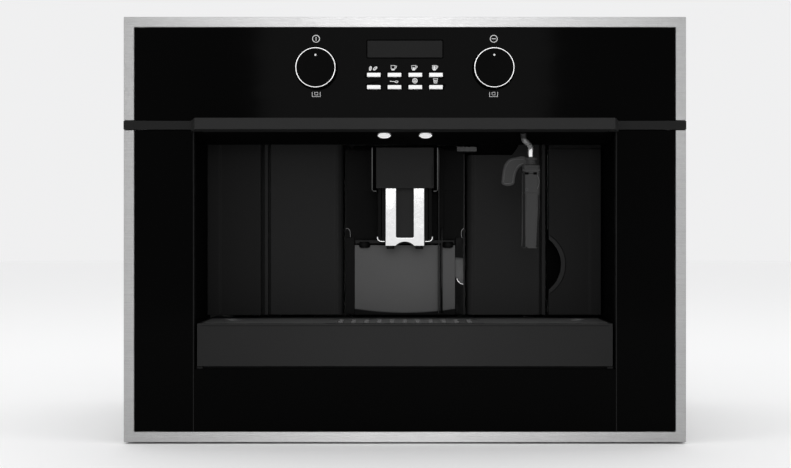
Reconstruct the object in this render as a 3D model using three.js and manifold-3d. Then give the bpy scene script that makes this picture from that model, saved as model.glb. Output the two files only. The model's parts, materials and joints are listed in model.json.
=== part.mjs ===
// Built-in coffee machine: a pull-out appliance behind a steel-trimmed black glass front.
// Millimetres, +Z up, front facing -Y. In the drawing Y = 0 is the front of the steel trim and
// Z = 0 its lower edge; the last lines move the whole machine to its own origin, which is the
// middle of its footprint on the floor of the niche.
import * as THREE from "three";
import { mergeVertices } from "three/addons/utils/BufferGeometryUtils.js";
import Module from "manifold-3d";

const wasm = await Module();
wasm.setup();

// Driving dimensions of the front.
const FRONT_HALF = 297.5;
const FRONT_HEIGHT = 450;
const TRIM_BAND = 11;
const TRIM_DEPTH = 22;
const GLASS_FRONT = 0.5;
const GLASS_BACK = 5.5;
const CARRIER_FRONT = 5.8;
const CARRIER_BACK = 9.8;
const GAP = 0.3;

// The bay for the cups: its opening in the front, its back, and its sloping lamp ceiling.
const BAY_HALF = 222.5;
const BAY_WALL = 3;
const BAY_TOP = 326.7;
const LIP_BOTTOM = 317;
const PANEL_BOTTOM = 128.5;
const CHEEK_FACE = 95;
const SHOULDER_FACE = 105;
const DOOR_FACE = 108;
const WALL_BACK = 122;

// The strip of the pull handle divides the front into an upper and a lower field.
const STRIP_BOTTOM = 330.7;
const STRIP_TOP = 339.9;
const GRIP_REACH = 35;

// The casing behind the front.
const CASE_HALF = 277;
const SHEET = 2;
const CASE_FRONT = TRIM_DEPTH + GAP;
const CASE_BACK = 394.3;
const FLOOR_Z = 32;
const CASE_TOP = 438;
const SHELF_BOTTOM = 77;
const SHELF_TOP = 79.9;
const SHELF_BACK = 262;
const STAND_Z = SHELF_TOP + GAP;
const BASE_UNDERSIDE = -2;
const INLET_BACK = 400;

// ---- geometry helpers -----------------------------------------------------------------------

function slab(x0, x1, y0, y1, z0, z1) {
  const box = new THREE.BoxGeometry(x1 - x0, y1 - y0, z1 - z0);
  return box.translate((x0 + x1) / 2, (y0 + y1) / 2, (z0 + z1) / 2);
}

function outline(points) {
  return new THREE.Shape(points.map(([a, b]) => new THREE.Vector2(a, b)));
}

function extrude(shape, depth, curveSegments = 8) {
  return new THREE.ExtrudeGeometry(shape, { depth, curveSegments, bevelEnabled: false });
}

// An outline seen from above, standing from z0 to z1.
function upright(shape, z0, z1, curveSegments) {
  return extrude(shape, z1 - z0, curveSegments).translate(0, 0, z0);
}

// An outline seen from the front (X and Z), reaching back from y0 to y1.
function facing(shape, y0, y1, curveSegments) {
  return extrude(shape, y1 - y0, curveSegments).rotateX(Math.PI / 2).translate(0, y1, 0);
}

// A section seen from the right (Y and Z), running across from x0 to x1.
function across(shape, x0, x1) {
  const turn = new THREE.Matrix4().set(0, 0, 1, x0, 1, 0, 0, 0, 0, 1, 0, 0, 0, 0, 0, 1);
  return extrude(shape, x1 - x0).applyMatrix4(turn);
}

// A profile of [radius, height] turned about the vertical through (x, y).
function turned(profile, x = 0, y = 0, segments = 24) {
  const points = profile.map(([radius, height]) => new THREE.Vector2(radius, height));
  return new THREE.LatheGeometry(points, segments).rotateX(Math.PI / 2).translate(x, y, 0);
}

// A round tool for a bore that runs front to back at (x, z).
function boreBack(x, z, radius, y0, y1, segments = 24) {
  const tool = new THREE.CylinderGeometry(radius, radius, y1 - y0, segments);
  return tool.translate(x, (y0 + y1) / 2, z);
}

function toSolid(geometry) {
  const bare = geometry.clone();
  bare.deleteAttribute("normal");
  bare.deleteAttribute("uv");
  const merged = mergeVertices(bare, 1e-3);
  return new wasm.Manifold(new wasm.Mesh({
    numProp: 3,
    vertProperties: new Float32Array(merged.attributes.position.array),
    triVerts: new Uint32Array(merged.index.array),
  }));
}

function toGeometry(solid) {
  const mesh = solid.getMesh();
  const geometry = new THREE.BufferGeometry();
  geometry.setAttribute("position", new THREE.BufferAttribute(mesh.vertProperties, 3));
  geometry.setIndex(new THREE.BufferAttribute(mesh.triVerts, 1));
  return geometry;
}

function join(base, ...additions) {
  return toGeometry(additions.reduce((sum, piece) => sum.add(toSolid(piece)), toSolid(base)));
}

function cut(base, ...tools) {
  return toGeometry(tools.reduce((rest, tool) => rest.subtract(toSolid(tool)), toSolid(base)));
}

// ---- finishes and the assembly --------------------------------------------------------------

const FINISHES = {
  brushedSteel: [0xc4c4c2, 0.34, 1.0],
  chrome: [0xe6e6e6, 0.12, 1.0],
  galvanised: [0xa3a7aa, 0.45, 0.9],
  blackGlass: [0x0a0a0b, 0.06, 0.0],
  anthracite: [0x2d2e2f, 0.42, 0.35],
  blackPlastic: [0x131314, 0.5, 0.0],
  greyPlastic: [0x232324, 0.55, 0.0],
  darkMetal: [0x2b2c2c, 0.4, 0.6],
  white: [0xf4f4f2, 0.35, 0.0],
  smokedPlastic: [0x59605f, 0.15, 0.0],
  brass: [0xb79a5b, 0.35, 1.0],
};

const assembly = new THREE.Group();

function piece(name, finish, geometry, parent = assembly) {
  const [color, roughness, metalness] = FINISHES[finish];
  const material = new THREE.MeshStandardMaterial({ color, roughness, metalness });
  const mesh = new THREE.Mesh(geometry, material);
  mesh.name = name;
  parent.add(mesh);
  return mesh;
}

const SIDES = [["left", -1], ["right", 1]];

// ---- runners: the base stays in the niche, the middle rails follow at half the travel -------

const RAIL_WEB = 262;
const RAIL_FRONT = 40;
const RAIL_BACK = 392;
const BASE_SHEET = 3;
const BASE_TOP = BASE_UNDERSIDE + BASE_SHEET;
const RAIL_TOP = 30;

const outerRails = SIDES.flatMap(([, side]) => {
  const web = [side * (RAIL_WEB - 3), side * RAIL_WEB].sort((a, b) => a - b);
  const flange = [side * 250, side * (RAIL_WEB - 1)].sort((a, b) => a - b);
  return [
    slab(web[0], web[1], RAIL_FRONT, RAIL_BACK, BASE_UNDERSIDE, RAIL_TOP),
    slab(flange[0], flange[1], RAIL_FRONT, RAIL_BACK, RAIL_TOP - 3, RAIL_TOP),
  ];
});
const basePlate = slab(-RAIL_WEB, RAIL_WEB, RAIL_FRONT, RAIL_BACK, BASE_UNDERSIDE, BASE_TOP);
const baseWindow = slab(-200, 200, 110, 320, BASE_UNDERSIDE - 1, BASE_TOP + 1);
piece("rail_base", "galvanised", join(cut(basePlate, baseWindow), ...outerRails));

for (const [hand, side] of SIDES) {
  const rail = piece(`middle_rail_${hand}`, "galvanised", new THREE.BoxGeometry(7, 310, 22));
  rail.position.set(side * 254.9, 215, 14);
}

// ---- casing ---------------------------------------------------------------------------------

const innerRails = SIDES.map(([, side]) => {
  const rail = new THREE.BoxGeometry(5, 345, FLOOR_Z - 5);
  return rail.translate(side * 247, 212, (FLOOR_Z + 6) / 2);
});
const floorPlate = slab(-CASE_HALF + SHEET + GAP, CASE_HALF - SHEET - GAP,
  CASE_FRONT, CASE_BACK - SHEET - GAP, FLOOR_Z, FLOOR_Z + SHEET);
piece("chassis_floor", "galvanised", join(floorPlate, ...innerRails));

for (const [hand, side] of SIDES) {
  const depth = CASE_BACK - SHEET - GAP - CASE_FRONT;
  const panel = piece(`side_panel_${hand}`, "galvanised",
    new THREE.BoxGeometry(SHEET, depth, CASE_TOP - FLOOR_Z));
  panel.position.set(side * (CASE_HALF - SHEET / 2), CASE_FRONT + depth / 2,
    (CASE_TOP + FLOOR_Z) / 2);
}

const rearSheet = slab(-CASE_HALF, CASE_HALF, CASE_BACK - SHEET, CASE_BACK, FLOOR_Z, CASE_TOP);
const inletBlock = slab(-236, -184, CASE_BACK - 1, INLET_BACK, 58, 92);
const inletRecess = slab(-224, -196, CASE_BACK, INLET_BACK + 1, 66, 84);
piece("rear_panel", "galvanised", cut(join(rearSheet, inletBlock), inletRecess));

const HOPPER = { x0: 35, x1: 190, y0: 121, y1: 279, bottom: 352, wall: 2.5 };
const GRINDER_X = 112;
const GRINDER_Y = 200;
const DIAL_X = 222;
const COVER_TOP = CASE_TOP + GAP + SHEET;
piece("top_cover", "galvanised", cut(
  slab(-CASE_HALF, CASE_HALF, CASE_FRONT, CASE_BACK, CASE_TOP + GAP, COVER_TOP),
  slab(HOPPER.x0 - GAP, HOPPER.x1 + GAP, HOPPER.y0 - GAP, HOPPER.y1 + GAP, CASE_TOP - 1,
    COVER_TOP + 1),
  turned([[0, CASE_TOP - 1], [5, CASE_TOP - 1], [5, COVER_TOP + 1], [0, COVER_TOP + 1]],
    DIAL_X, GRINDER_Y, 16)));

// ---- front: steel trim, black glass, handle strip -------------------------------------------

const TRIM_INNER = FRONT_HALF - TRIM_BAND;
const UPPER_START = STRIP_TOP + GAP;
const LOWER_END = STRIP_BOTTOM - GAP;
piece("upper_trim_frame", "brushedSteel", facing(outline([
  [-FRONT_HALF, UPPER_START], [-TRIM_INNER, UPPER_START],
  [-TRIM_INNER, FRONT_HEIGHT - TRIM_BAND], [TRIM_INNER, FRONT_HEIGHT - TRIM_BAND],
  [TRIM_INNER, UPPER_START], [FRONT_HALF, UPPER_START],
  [FRONT_HALF, FRONT_HEIGHT], [-FRONT_HALF, FRONT_HEIGHT],
]), 0, TRIM_DEPTH));
piece("lower_trim_frame", "brushedSteel", facing(outline([
  [-FRONT_HALF, 0], [FRONT_HALF, 0], [FRONT_HALF, LOWER_END], [TRIM_INNER, LOWER_END],
  [TRIM_INNER, TRIM_BAND], [-TRIM_INNER, TRIM_BAND],
  [-TRIM_INNER, LOWER_END], [-FRONT_HALF, LOWER_END],
]), 0, TRIM_DEPTH));

const KNOB_X = 93.8;
const KNOB_Z = 395;
const KNOB_RADIUS = 21.2;
const KEY_COLUMNS = [-32.9, -11, 11, 32.9];
const KEY_ROWS = [388.6, 375.6];
const KEY_WIDTH = 15.4;
const KEY_HEIGHT = 5.3;
const DISPLAY = { half: 40.2, z0: 406.5, z1: 425.4 };
const GLASS_HALF = TRIM_INNER - GAP;

const KEY_PLACES = KEY_ROWS.flatMap((z) => KEY_COLUMNS.map((x) => ({ x, z })));
const keySlots = KEY_PLACES.map(({ x, z }) => slab(x - KEY_WIDTH / 2 - 0.4,
  x + KEY_WIDTH / 2 + 0.4, -1, 8, z - KEY_HEIGHT / 2 - 0.4, z + KEY_HEIGHT / 2 + 0.4));
const knobHoles = SIDES.map(([, side]) => boreBack(side * KNOB_X, KNOB_Z, KNOB_RADIUS + 0.8,
  -1, 8, 32));
piece("control_glass", "blackGlass", cut(
  slab(-GLASS_HALF, GLASS_HALF, GLASS_FRONT, GLASS_BACK, UPPER_START,
    FRONT_HEIGHT - TRIM_BAND - GAP),
  slab(-DISPLAY.half, DISPLAY.half, -1, 8, DISPLAY.z0, DISPLAY.z1), ...knobHoles, ...keySlots));

const SEAM = 224;
piece("lower_glass_panel", "blackGlass",
  slab(-SEAM + GAP, SEAM - GAP, GLASS_FRONT, GLASS_BACK, TRIM_BAND + GAP, 77.5));
for (const [hand, side] of SIDES) {
  const width = GLASS_HALF - SEAM;
  const height = LOWER_END - TRIM_BAND - GAP;
  const panel = piece(`${hand}_glass_panel`, "blackGlass",
    new THREE.BoxGeometry(width, GLASS_BACK - GLASS_FRONT, height));
  panel.position.set(side * (SEAM + width / 2), (GLASS_FRONT + GLASS_BACK) / 2,
    TRIM_BAND + GAP + height / 2);
}

const strip = slab(-FRONT_HALF, FRONT_HALF, -1, 20, STRIP_BOTTOM, STRIP_TOP);
const grip = upright(outline([[-217.3, -GRIP_REACH], [217.3, -GRIP_REACH], [226, 0], [-226, 0]]),
  328.7, 340.4);
piece("pull_handle", "anthracite", join(strip, grip));

// ---- what stands behind the upper glass -----------------------------------------------------

const stemHoles = SIDES.map(([, side]) => boreBack(side * KNOB_X, KNOB_Z, 5, 4, 12, 16));
piece("control_carrier", "blackPlastic", cut(
  slab(-285, 285, CARRIER_FRONT, CARRIER_BACK, 341, 437),
  slab(-39, 39, 4, 12, 407.5, 424.5), ...stemHoles));

piece("display_module", "blackPlastic", join(
  slab(-DISPLAY.half + GAP, DISPLAY.half - GAP, 0.8, GLASS_BACK + 0.1, DISPLAY.z0 + GAP,
    DISPLAY.z1 - GAP),
  slab(-38, 38, GLASS_BACK, 12, 408, 424),
  slab(-80, 80, 11.5, 14, 348, 432)));

const knobProfile = [[0, -19.7], [4, -19.7], [4, -5.2], [KNOB_RADIUS, -5.2],
  [KNOB_RADIUS, 13], [KNOB_RADIUS - 1, 14], [0, 14]];
for (const [hand, side] of SIDES) {
  const knob = piece(`knob_${hand}`, "blackPlastic", turned(knobProfile, 0, 0, 32));
  knob.position.set(side * KNOB_X, 0, KNOB_Z);
  knob.rotation.x = Math.PI / 2;
}

KEY_PLACES.forEach(({ x, z }, index) => {
  const key = piece(`key_${index + 1}`, "white",
    new THREE.BoxGeometry(KEY_WIDTH, 5.2, KEY_HEIGHT));
  key.position.set(x, 2, z);
});

// ---- bay: walls, lamp ceiling, back panels --------------------------------------------------

for (const [hand, side] of SIDES) {
  const wall = outline([
    [-285, CARRIER_FRONT], [-BAY_HALF, CARRIER_FRONT], [-BAY_HALF, WALL_BACK],
    [-BAY_HALF - BAY_WALL, WALL_BACK], [-BAY_HALF - BAY_WALL, CARRIER_FRONT + 3],
    [-285, CARRIER_FRONT + 3],
  ].map(([x, y]) => [-side * x, y]));
  piece(`niche_wall_${hand}`, "greyPlastic", upright(wall, FLOOR_Z + SHEET + GAP, 330));
}

const LIP_Y = 35;
const SLOPE_START = { y: 0.8, z: 328.6 };
const slope = Math.atan2(SLOPE_START.z - LIP_BOTTOM, LIP_Y - SLOPE_START.y);
const lampSection = outline([
  [SLOPE_START.y, 330], [SLOPE_START.y, SLOPE_START.z], [LIP_Y, LIP_BOTTOM],
  [LIP_Y + 3, LIP_BOTTOM], [LIP_Y + 3, BAY_TOP], [WALL_BACK, BAY_TOP], [WALL_BACK, 330],
]);
const LAMP_X = 22;
const LAMP_Y = 10;
const LAMP_RADIUS = 7;
const lampZ = SLOPE_START.z - (LAMP_Y - SLOPE_START.y) * Math.tan(slope);
const lampTurn = -(Math.PI / 2 + slope);
const lampPockets = SIDES.map(([, side]) => new THREE.CylinderGeometry(LAMP_RADIUS + 0.4,
  LAMP_RADIUS + 0.4, 5, 24).rotateX(lampTurn).translate(side * LAMP_X, LAMP_Y, lampZ));
piece("lamp_panel", "blackPlastic", cut(
  across(lampSection, -BAY_HALF + GAP, BAY_HALF - GAP), ...lampPockets));
for (const [hand, side] of SIDES) {
  const lens = piece(`lamp_lens_${hand}`, "white",
    new THREE.CylinderGeometry(LAMP_RADIUS, LAMP_RADIUS, 2.8, 24));
  lens.rotation.x = lampTurn;
  lens.position.set(side * LAMP_X, LAMP_Y + 0.8 * Math.sin(slope),
    lampZ + 0.8 * Math.cos(slope));
}

const PANEL_TOP = BAY_TOP - GAP;
const STRIP_EDGE = 208.5;
const STRIP_RISE = 1.5;
piece("left_cheek_panel", "greyPlastic", upright(outline([
  [-BAY_HALF + GAP, CHEEK_FACE - STRIP_RISE], [-STRIP_EDGE, CHEEK_FACE - STRIP_RISE],
  [-STRIP_EDGE + 2, CHEEK_FACE], [-162, CHEEK_FACE], [-162, CHEEK_FACE + 8],
  [-165, CHEEK_FACE + 8], [-165, CHEEK_FACE + 3], [-BAY_HALF + GAP, CHEEK_FACE + 3],
]), PANEL_BOTTOM, PANEL_TOP));

// Each shoulder has a face, a soft radius beside the door and a groove with a rib in it.
for (const [hand, side, reach] of [["left", -1, 164.7], ["right", 1, 159.5]]) {
  const radius = 10;
  const arc = [0, 1, 2, 3, 4].map((step) => {
    const angle = (step / 4) * Math.PI / 2;
    return [80 - radius * Math.sin(angle), SHOULDER_FACE + radius * (1 - Math.cos(angle))];
  });
  const points = [
    [reach, SHOULDER_FACE + 8], [reach, SHOULDER_FACE + 5], [158.5, SHOULDER_FACE + 5],
    [158.5, 101], [154.5, 101], [154.5, SHOULDER_FACE + 5], [152, SHOULDER_FACE + 5],
    [152, SHOULDER_FACE], ...arc, [70, 125], [73, 125], [73, SHOULDER_FACE + 8],
  ].map(([x, y]) => [side * x, y]);
  piece(`${hand}_shoulder_panel`, "greyPlastic", upright(outline(points), PANEL_BOTTOM,
    PANEL_TOP));
}

// ---- shelf under the tray, with the plinth that carries the water tank ----------------------

const shelfPlan = outline([
  [-BAY_HALF + 0.5, CARRIER_FRONT], [BAY_HALF - 0.5, CARRIER_FRONT], [BAY_HALF - 0.5, 124],
  [274.7, 124], [274.7, SHELF_BACK], [-274.7, SHELF_BACK], [-274.7, 124], [-BAY_HALF + 0.5, 124],
]);
const TANK_BOTTOM = 129;
const plinthOutline = outline([
  [160, SHELF_TOP - 0.5], [163, SHELF_TOP - 0.5], [163, TANK_BOTTOM - 3.3],
  [219, TANK_BOTTOM - 3.3], [219, SHELF_TOP - 0.5], [222, SHELF_TOP - 0.5],
  [222, TANK_BOTTOM - GAP], [160, TANK_BOTTOM - GAP],
]);
piece("tray_shelf", "greyPlastic", join(
  upright(shelfPlan, SHELF_BOTTOM, SHELF_TOP),
  slab(-222, 222, CARRIER_FRONT, CARRIER_FRONT + 3, 12, SHELF_BOTTOM + 1),
  facing(plinthOutline, 126, SHELF_BACK)));

// ---- drip tray, cup grille, float and grounds container -------------------------------------

const TRAY = { half: 220, front: 0.5, back: 118, bottom: 80.2, top: 125.6 };
const TONGUE = { half: 64, back: 259.5, top: 96 };
const trayWalls = cut(
  join(slab(-TRAY.half, TRAY.half, TRAY.front, TRAY.back, TRAY.bottom, TRAY.top),
    slab(-TONGUE.half, TONGUE.half, TRAY.back - 1, TONGUE.back, TRAY.bottom, TONGUE.top)),
  slab(-TRAY.half + 2.5, TRAY.half - 2.5, 4, TRAY.back - 2.5, TRAY.bottom + 3, TRAY.top + 5),
  slab(-TONGUE.half + 2.5, TONGUE.half - 2.5, TRAY.back + 2, TONGUE.back - 2,
    TRAY.bottom + 3, TRAY.top));
const DECK_FRONT = 92.5;
piece("drip_tray", "darkMetal", join(trayWalls,
  slab(-TRAY.half + 2, TRAY.half - 2, DECK_FRONT, TRAY.back - 1, TRAY.top - 3.3, TRAY.top),
  slab(-111, -109, 3, DECK_FRONT + 3, TRAY.bottom + 2, TRAY.top - 3.3),
  slab(109, 111, 3, DECK_FRONT + 3, TRAY.bottom + 2, TRAY.top - 3.3)));

const GRILLE = { half: 216.9, front: 4.6, back: 92, bottom: TRAY.top - 3, top: TRAY.top - 0.3 };
const SLOT = { pitch: 14, half: 2.5, rows: [[14, 40], [46, 70]], count: 11 };
const grilleSlots = SLOT.rows.flatMap(([y0, y1]) => Array.from({ length: SLOT.count },
  (_, index) => {
    const x = (index - (SLOT.count - 1) / 2) * SLOT.pitch;
    return slab(x - SLOT.half, x + SLOT.half, y0, y1, GRILLE.bottom - 1, GRILLE.top + 1);
  }));
const FINGER_X = 190;
const fingerHoles = SIDES.map(([, side]) => turned([[0, GRILLE.bottom - 1],
  [9, GRILLE.bottom - 1], [9, GRILLE.top + 1], [0, GRILLE.top + 1]], side * FINGER_X, 66, 20));
piece("cup_grille", "darkMetal", cut(
  slab(-GRILLE.half, GRILLE.half, GRILLE.front, GRILLE.back, GRILLE.bottom, GRILLE.top),
  ...fingerHoles, ...grilleSlots));
const FLOAT = { x: -52, y: 106, width: 12, height: 24 };
const trayFloat = piece("tray_float", "brass",
  new THREE.BoxGeometry(FLOAT.width, FLOAT.width, FLOAT.height));
trayFloat.position.set(FLOAT.x, FLOAT.y, TRAY.bottom + 3.5 + FLOAT.height / 2);

piece("grounds_container", "blackPlastic", cut(
  slab(-60, 60, 122, 255, TRAY.bottom + 3.3, 126),
  slab(-58, 58, 124, 253, TRAY.bottom + 5.3, 130)));

// ---- water tank: slides out forwards, its front is the right-hand back panel of the bay -----

const TANK = { x0: 162.5, x1: 219.5, front: 101, back: 350, top: 316 };
const tankOutline = (inset) => outline([
  [184 + inset, TANK.front + inset], [TANK.x1 - inset, TANK.front + inset],
  [TANK.x1 - inset, TANK.back - inset], [TANK.x0 + inset, TANK.back - inset],
  [TANK.x0 + inset, 124 + inset], [184 + inset, 124 + inset],
]);
piece("water_tank", "smokedPlastic", cut(
  upright(tankOutline(0), TANK_BOTTOM, TANK.top),
  upright(tankOutline(2.5), TANK_BOTTOM + 2.5, TANK.top + 5)));
const RECESS = { radius: 36, depth: 14, z: 185.7 };
piece("tank_front", "greyPlastic", cut(
  upright(outline([
    [161.7, CHEEK_FACE], [STRIP_EDGE - 2, CHEEK_FACE], [STRIP_EDGE, CHEEK_FACE - STRIP_RISE],
    [220.5, CHEEK_FACE - STRIP_RISE], [220.5, TANK.front - GAP], [161.7, TANK.front - GAP],
  ]), TANK_BOTTOM, TANK.top),
  facing(new THREE.Shape().absarc(161.7 + RECESS.depth - RECESS.radius, RECESS.z,
    RECESS.radius, 0, Math.PI * 2), 90, TANK.front + 2, 24)));

// ---- service door with the splash plate and the coffee spout --------------------------------

const DOOR = { half: 67.5, top: 315.7, back: 116 };
piece("service_door", "blackPlastic", cut(
  slab(-DOOR.half, DOOR.half, DOOR_FACE, DOOR.back, PANEL_BOTTOM, DOOR.top),
  facing(new THREE.Shape().absarc(DOOR.half, 183.5, 14, 0, Math.PI * 2), 100, 120, 16)));

const splash = new THREE.Shape();
splash.moveTo(-57, 106);
splash.quadraticCurveTo(0, 101, 57, 106);
splash.lineTo(57, 107.4);
splash.quadraticCurveTo(0, 102.4, -57, 107.4);
piece("splash_plate", "brushedSteel", upright(splash, 130, 207.6, 10));

const SPOUT = { half: 31.8, front: 60, back: 107.7, bottom: 270.5, top: 315.5, wall: 3 };
const ARM = { outer: 30, inner: 26.2, front: 68, back: 99.5, bottom: 212 };
const guideArms = SIDES.map(([, side]) => new THREE.BoxGeometry(ARM.outer - ARM.inner,
  ARM.back - ARM.front, SPOUT.bottom + 3 - ARM.bottom).translate(
  side * (ARM.outer + ARM.inner) / 2, (ARM.back + ARM.front) / 2,
  (SPOUT.bottom + 3 + ARM.bottom) / 2));
piece("spout_housing", "greyPlastic", join(cut(
  slab(-SPOUT.half, SPOUT.half, SPOUT.front, SPOUT.back, SPOUT.bottom, SPOUT.top),
  slab(-SPOUT.half + SPOUT.wall, SPOUT.half - SPOUT.wall, SPOUT.front + SPOUT.wall,
    SPOUT.back - SPOUT.wall, SPOUT.bottom - 5, SPOUT.top - SPOUT.wall)), ...guideArms));
const trimBracket = facing(outline([
  [-37, SPOUT.top], [-37, 269], [-34, 266.3], [34, 266.3], [37, 269], [37, SPOUT.top],
  [35.2, SPOUT.top], [35.2, 268.1], [-35.2, 268.1], [-35.2, SPOUT.top],
]), 62, SPOUT.back);
piece("spout_trim", "chrome", cut(trimBracket, slab(-31.2, 31.2, 55, 100, 260, 269)));

const COLUMN = { x: 16, y: 74, width: 10.4, depth: 12, bottom: 207, top: 273 };
const NOZZLE = { radius: 4.4, bore: 2.4, bottom: 203.5 };
const columns = SIDES.map(([, side]) => new THREE.BoxGeometry(COLUMN.width, COLUMN.depth,
  COLUMN.top - COLUMN.bottom).translate(side * COLUMN.x, COLUMN.y,
  (COLUMN.top + COLUMN.bottom) / 2));
const nozzleStub = (side, radius, bottom, top) => turned(
  [[0, bottom], [radius, bottom], [radius, top], [0, top]], side * COLUMN.x, COLUMN.y, 16);
const nozzles = SIDES.map(([, side]) => nozzleStub(side, NOZZLE.radius, NOZZLE.bottom,
  COLUMN.bottom + 1));
const nozzleBores = SIDES.map(([, side]) => nozzleStub(side, NOZZLE.bore, NOZZLE.bottom - 3,
  COLUMN.bottom + 5));
const ARCH = { z: 203, radius: 8.5 };
const archCut = boreBack(0, ARCH.z, ARCH.radius, 60, 90);
piece("spout_carriage", "greyPlastic", cut(
  join(slab(-25.6, 25.6, 76, 94, 213, 275), slab(-11.5, 11.5, 70, 80, 215.5, 275),
    slab(-11.5, 11.5, 68.5, 79, 207.2, 216), ...columns, ...nozzles),
  archCut, ...nozzleBores));

// ---- steam wand -----------------------------------------------------------------------------

const WAND = { x: 135.2, y: 25, top: 322.8 };
const tubePath = new THREE.CatmullRomCurve3([
  [126, 8, WAND.top], [126.2, 8.6, 321], [130.8, 15.5, 317.6], [134.9, 23, 313.6],
  [WAND.x, WAND.y, 309], [WAND.x, WAND.y, 303], [WAND.x, WAND.y, 290], [WAND.x, WAND.y, 232],
].map(([x, y, z]) => new THREE.Vector3(x, y, z)));
const tubeRing = new THREE.Shape().absarc(0, 0, 3, 0, Math.PI * 2);
piece("steam_tube", "chrome", new THREE.ExtrudeGeometry(tubeRing,
  { steps: 24, curveSegments: 5, bevelEnabled: false, extrudePath: tubePath }));

const SLEEVE_TOP = 293.7;
const COLLAR = { bottom: SLEEVE_TOP + GAP, top: 301.8, radius: 6.5, bore: 3.9 };
const collar = turned([[COLLAR.bore, COLLAR.bottom], [COLLAR.radius, COLLAR.bottom],
  [COLLAR.radius, COLLAR.top], [COLLAR.bore, COLLAR.top], [COLLAR.bore, COLLAR.bottom]],
WAND.x, WAND.y, 20);
const tab = new THREE.Shape();
tab.moveTo(WAND.x - 5.4, COLLAR.top - 0.4);
tab.quadraticCurveTo(110, 301, 103.6, 277);
tab.quadraticCurveTo(108, 267.5, 115.4, 273);
tab.quadraticCurveTo(119.5, 294.5, WAND.x - 5.4, COLLAR.bottom + 2.6);
piece("wand_grip", "greyPlastic", join(collar, facing(tab, WAND.y - 3, WAND.y + 1, 6)));
piece("frother_sleeve", "greyPlastic", turned(
  [[5.5, 205], [8.2, 205], [9.4, 250], [9.4, SLEEVE_TOP], [5.5, SLEEVE_TOP], [5.5, 205]],
  WAND.x, WAND.y));

// ---- water and brewing parts inside the casing ----------------------------------------------

piece("boiler", "brushedSteel", turned([[0, STAND_Z], [20, STAND_Z], [20, 180], [38, 180],
  [45, 188], [45, 322], [38, 330], [0, 330]], -130, 220));
const PUMP_X = -225;
const pumpBarrel = new THREE.CylinderGeometry(25, 25, 110, 24).translate(PUMP_X, 205, 118);
piece("pump", "galvanised", join(pumpBarrel,
  slab(PUMP_X - 15, PUMP_X + 15, 170, 240, STAND_Z, 98)));

piece("grinder_body", "blackPlastic", turned([[0, STAND_Z], [30, STAND_Z], [30, 240], [40, 240],
  [40, 345], [23, 345], [23, 303], [0, 303]], GRINDER_X, GRINDER_Y));
piece("grinder_burr", "brushedSteel", turned([[0, 303.3], [20, 303.3], [20, 322], [5, 348],
  [0, 348]], GRINDER_X, GRINDER_Y, 16));
piece("bean_hopper", "smokedPlastic", cut(
  join(slab(HOPPER.x0, HOPPER.x1, HOPPER.y0, HOPPER.y1, HOPPER.bottom, COVER_TOP),
    turned([[0, 345.3], [30, 345.3], [30, 353], [0, 353]], GRINDER_X, GRINDER_Y)),
  slab(HOPPER.x0 + HOPPER.wall, HOPPER.x1 - HOPPER.wall, HOPPER.y0 + HOPPER.wall,
    HOPPER.y1 - HOPPER.wall, HOPPER.bottom + HOPPER.wall, COVER_TOP + 5),
  turned([[0, 340], [23, 340], [23, 360], [0, 360]], GRINDER_X, GRINDER_Y)));
piece("hopper_lid", "blackPlastic", slab(33, 192, 119, 281, COVER_TOP + 0.7, COVER_TOP + 3.7));
piece("grind_dial", "blackPlastic", turned([[0, 430], [4, 430], [4, COVER_TOP + 0.4],
  [13, COVER_TOP + 0.4], [12, 448.5], [0, 448.5]], DIAL_X, GRINDER_Y));

// The frame's floor and top hold the spindle. The piston's nut runs on it, and its disc goes down
// into the brewing chamber. The drive gear is at the spindle's upper end.
const BREW = { half: 60, front: 150, back: 267, bottom: 176, top: 322, sheet: 8, y: 205 };
const BREW_FLOOR = BREW.bottom + BREW.sheet;
const BREW_CEILING = BREW.top - BREW.sheet;
const CHAMBER = { x: -15, bore: 24, outer: 29, top: 230 };
const SPINDLE = { x: 38, core: 4.5 };
const GEAR = { radius: 20, bottom: 302, top: 310 };
const PISTON = { radius: 23.4, bottom: 232, top: 239, stem: 8 };
const ARM_BAR = { bottom: 285, top: 293, half: 8 };
const NUT = { radius: 12, bore: 6.6, bottom: 280, top: 298 };
const chamber = turned([[CHAMBER.bore, BREW_FLOOR - 1], [CHAMBER.outer, BREW_FLOOR - 1],
  [CHAMBER.outer, CHAMBER.top], [CHAMBER.bore, CHAMBER.top], [CHAMBER.bore, BREW_FLOOR - 1]],
CHAMBER.x, BREW.y);
piece("brew_frame", "blackPlastic", join(
  slab(-BREW.half, BREW.half, BREW.front, BREW.back - 3, BREW.bottom, BREW_FLOOR), chamber,
  slab(-BREW.half, BREW.half, BREW.front, BREW.back - 3, BREW_CEILING, BREW.top),
  slab(-BREW.half, BREW.half, BREW.back - 4, BREW.back, FLOOR_Z + SHEET + GAP, BREW.top)));
piece("brew_spindle", "brass", turned([
  [0, BREW_FLOOR + GAP], [SPINDLE.core, BREW_FLOOR + GAP], [SPINDLE.core, GEAR.bottom],
  [GEAR.radius, GEAR.bottom], [GEAR.radius, GEAR.top], [SPINDLE.core, GEAR.top],
  [SPINDLE.core, BREW_CEILING - GAP], [0, BREW_CEILING - GAP],
], SPINDLE.x, BREW.y));
const post = (radius, bottom, top, x) => turned(
  [[0, bottom], [radius, bottom], [radius, top], [0, top]], x, BREW.y);
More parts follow.
